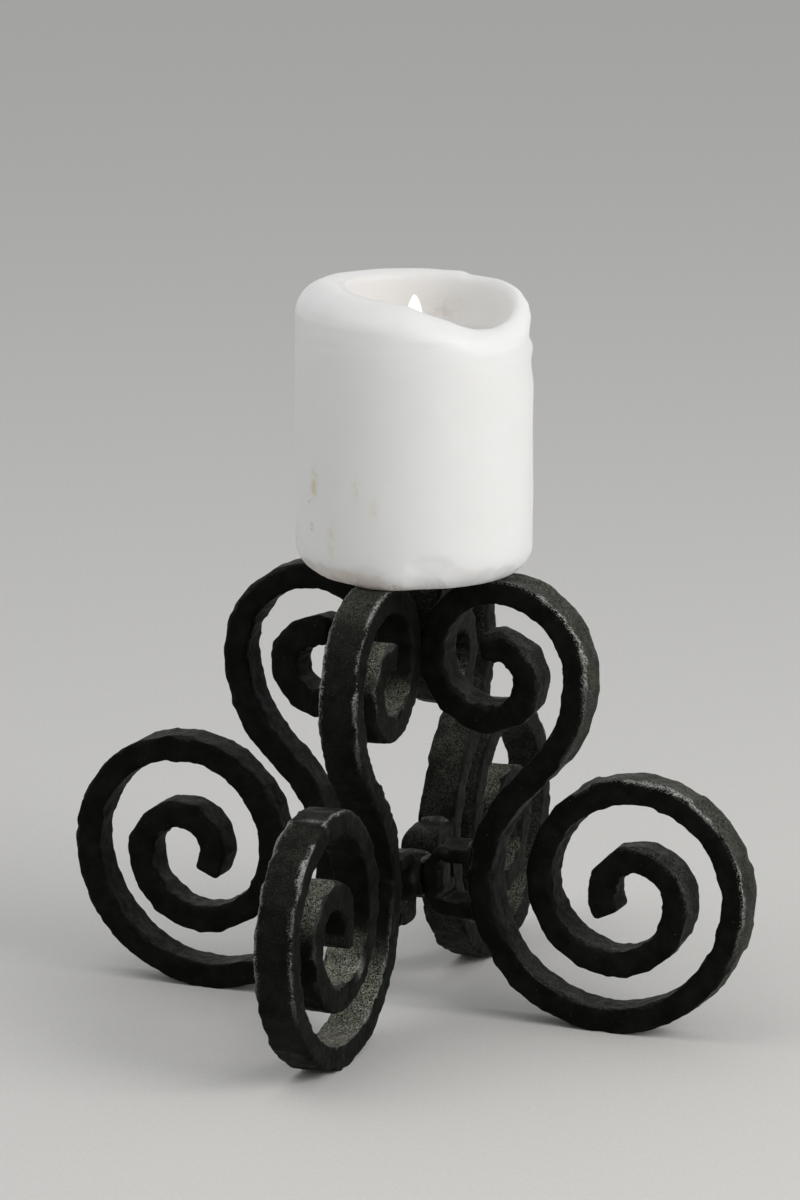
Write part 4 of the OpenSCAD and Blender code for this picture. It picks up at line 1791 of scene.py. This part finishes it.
    def knocked(self, radius: np.ndarray, angle: np.ndarray, up: np.ndarray) -> np.ndarray:
        """Knock, run and dent the candle's outside.

        Args:
            radius: Distances from the axis.
            angle: Directions in degrees, one for each column.
            up: Heights above the base.

        Returns:
            The new distances.
        """
        right, down = turned(angle, self.front)[None, :], self.height - up
        points = self.place(radius, angle[None, :], up)
        push = self.grain.layers(points, self.waves) - self.shrunk
        push += sum(bulge.at(right, down) for bulge in self.bulges)
        centre, spread = self.slump
        start, over = self.slump_down
        push -= self.slump_in * hill(right - centre, spread) * rise(start - down, 0.0, over)
        start, over = self.ripple_down
        size, high = self.ripples
        ripples = self.grain.at(points * np.array([self.ripple_long, self.ripple_long, 1.0]), size)
        push += high * ripples * rise(start - down, 0.0, over)
        rng = np.random.default_rng(Draw.BASE_CHIPS.seed())
        small = [Chip(rng.uniform(-HALF, HALF), rng.uniform(*self.small_up), rng.uniform(*self.small_size),
                      self.small_flat, rng.uniform(*self.small_deep)) for _ in range(self.small_chips)]
        chips = np.maximum.reduce([chip.at(right, up, math.radians(self.radius))
                                   for chip in (*small, *self.chips)])
        low = hill(np.maximum(up - self.base_up[0], 0.0), self.base_up[1])
        push -= chips + self.scrape_deep * self._scraped(right, up, self.scrape_edge)
        push += low * (self.grain.layers(points, self.base_waves) - self.grain.layers(points, self.flakes))
        inwards, over = self.knocked_in
        return radius + push * rise(radius, self.radius - inwards, over)

    def wax_body(self, wax: Material) -> Object:
        """Cast the candle.

        Args:
            wax: The finish.

        Returns:
            The candle's object.
        """
        angle = np.arange(self.columns) * FULL / self.columns
        radius, up = self.profile(angle)
        radius = self.knocked(radius, angle, up)
        right, reach = turned(angle, self.front)[None, :], self.hollow_reach(angle)[None, :]
        least, more = self.glow
        clear = least + more * rise(self.radius - reach, *self.glow_wall)
        strength, foot, fade = self.grime_foot
        grime = strength * hill(np.maximum(up - foot, 0.0), fade)
        grime = grime + sum(spot.at(right, up) for spot in self.grime)
        stain = sum(spot.at(right, up) for spot in self.stains)
        highest, over = self.bruise_up
        bruise = self._scraped(right, up, self.bruise_edge) * rise(highest - up, 0.0, over)
        values = {"hollow": np.where(radius < reach + self.glow_past, clear, 0.0),
                  "stain": stain * (radius > self.radius - self.stain_past),
                  "bruise": self.bruise * bruise,
                  "soot": self.soot.at(right, up) * (radius < reach + self.soot_past),
                  "grime": np.minimum(grime, 1.0) * (radius > self.bore + self.grime_past)}
        skin = Skin()
        skin.add(held_in(self.place(radius, angle[None, :], up), "candle_wax"), Ends.JOINED, values)
        return skin.build("candle_wax_body", wax, "candle", "candle_wax", "candle_wax")

    def build(self) -> list[Object]:
        """Build the candle with all that belongs to it.

        Returns:
            The objects.
        """
        return [self.wax_body(PillarWax().material()),
                self.pool.build(self, MoltenWax().material()),
                self.wick.build(self, CharredCotton().material()),
                self.flame.build(self, FlameGlow().material())]


# ---------------------------------------------------------------- the studio


@dataclass
class Lamp:
    """Soft round lamp that looks at the stand."""

    name: str
    azimuth: float
    elevation: float
    watts: float
    away: float = 1700.0
    size: float = 1300.0
    colour: Colour = (1.0, 0.985, 0.96)
    looks_at: float = 120.0         # height above the floor

    def build(self) -> Object:
        """Hang the lamp.

        Returns:
            The lamp's object.
        """
        turn, tilt = math.radians(self.azimuth), math.radians(self.elevation)
        way = Vector((math.cos(turn) * math.cos(tilt), math.sin(turn) * math.cos(tilt), math.sin(tilt)))
        light = bpy.data.lights.new(self.name, "AREA")
        light.shape = "DISK"
        light.size = self.size * MM
        light.energy = self.watts
        light.color = self.colour
        lamp = in_scene(self.name, light)
        lamp.location = Vector((0.0, 0.0, self.looks_at * MM)) + way * self.away * MM
        lamp.rotation_euler = way.to_track_quat("Z", "Y").to_euler()
        return lamp


@dataclass
class Studio:
    """Plain pale floor, pale world, a soft lamp from the right and a weaker one overhead."""

    rings: tuple[float, ...] = (300.0, 1200.0, 9000.0)
    around: int = 96
    floor_z: float = -0.1
    world: Colour = (0.97, 0.985, 1.0)
    world_strength: float = 0.41
    backdrop: Colour = (1.0, 1.0, 1.0)
    lamps: tuple[Lamp, ...] = (Lamp("key_lamp", -12.0, 28.0, 15.0), Lamp("top_lamp", 215.0, 66.0, 4.5))

    def floor(self) -> Object:
        """Lay the floor.

        Returns:
            The floor's object.
        """
        count = self.around
        turns = np.linspace(0.0, CIRCLE, count, endpoint=False)
        points = [(0.0, 0.0, self.floor_z)]
        points += [(ring * math.cos(turn), ring * math.sin(turn), self.floor_z)
                   for ring in self.rings for turn in turns]
        pairs = [(k, (k + 1) % count) for k in range(count)]
        faces: list[tuple[int, ...]] = [(0, 1 + k, 1 + after) for k, after in pairs]
        for base in range(1, 1 + count * (len(self.rings) - 1), count):
            faces += [(base + k, base + count + k, base + count + after, base + after) for k, after in pairs]
        mesh = bpy.data.meshes.new("studio_floor")
        mesh.from_pydata([Vector(point) * MM for point in points], [], faces)
        mesh.materials.append(PaleGround().material())
        made = in_scene("studio_floor", mesh)
        return made

    def sky(self) -> None:
        """Light the world, which the camera and mirrors see as plain white."""
        world = bpy.data.worlds.new("studio_world")
        bpy.context.scene.world = world
        world.use_nodes = True
        nodes = Nodes(world.node_tree)
        rays = nodes.node("ShaderNodeLightPath").outputs
        seen = rays["Is Camera Ray"]
        for name in ("Is Glossy Ray", "Is Transmission Ray"):
            seen = nodes.greater(seen, rays[name])
        lit = nodes.node("ShaderNodeBackground",
                         {"Color": (*self.world, 1.0), "Strength": self.world_strength})
        shown = nodes.node("ShaderNodeBackground", {"Color": (*self.backdrop, 1.0)})
        both = nodes.node("ShaderNodeMixShader", {0: seen, 1: lit.outputs[0], 2: shown.outputs[0]})
        nodes.node("ShaderNodeOutputWorld", {"Surface": both.outputs[0]})

    def build(self) -> None:
        """Set up the floor, the world and the lamps."""
        self.floor()
        self.sky()
        for lamp in self.lamps:
            lamp.build()


@dataclass
class Viewpoint:
    """Camera at the photograph's place and angle."""

    azimuth: float = 21.456
    elevation: float = 12.777
    away: float = 1980.155
    lens: float = 178.155
    sensor: float = 36.0
    aside: float = -3.288
    above: float = 130.947
    base_z: float = 4.089

    def build(self) -> Object:
        """Set up the camera.

        Returns:
            The camera's object.
        """
        turn, tilt = math.radians(self.azimuth), math.radians(self.elevation)
        back = Vector((math.sin(turn) * math.cos(tilt), -math.cos(turn) * math.cos(tilt), math.sin(tilt)))
        right = Vector((math.cos(turn), math.sin(turn), 0.0))
        up = back.cross(right)
        place = (back * self.away + right * self.aside + up * self.above + Vector((0, 0, self.base_z))) * MM
        data = bpy.data.cameras.new("photo_camera")
        data.lens = self.lens
        data.sensor_width = self.sensor
        data.sensor_fit = "AUTO"
        camera = in_scene("photo_camera", data)
        camera.matrix_world = Matrix.Translation(place) @ Matrix((right, up, back)).transposed().to_4x4()
        bpy.context.scene.camera = camera
        return camera


def main() -> None:
    """Build the whole scene in order and report each piece."""
    logging.basicConfig(level=logging.INFO, format="%(name)s: %(message)s")
    bpy.context.scene.view_settings.view_transform = "Standard"
    Viewpoint().build()
    Studio().build()
    for piece in Stand().build() + Candle().build():
        log.info("%s: %d points, %d faces", piece.name, len(piece.data.vertices), len(piece.data.polygons))


if __name__ == "__main__":
    main()
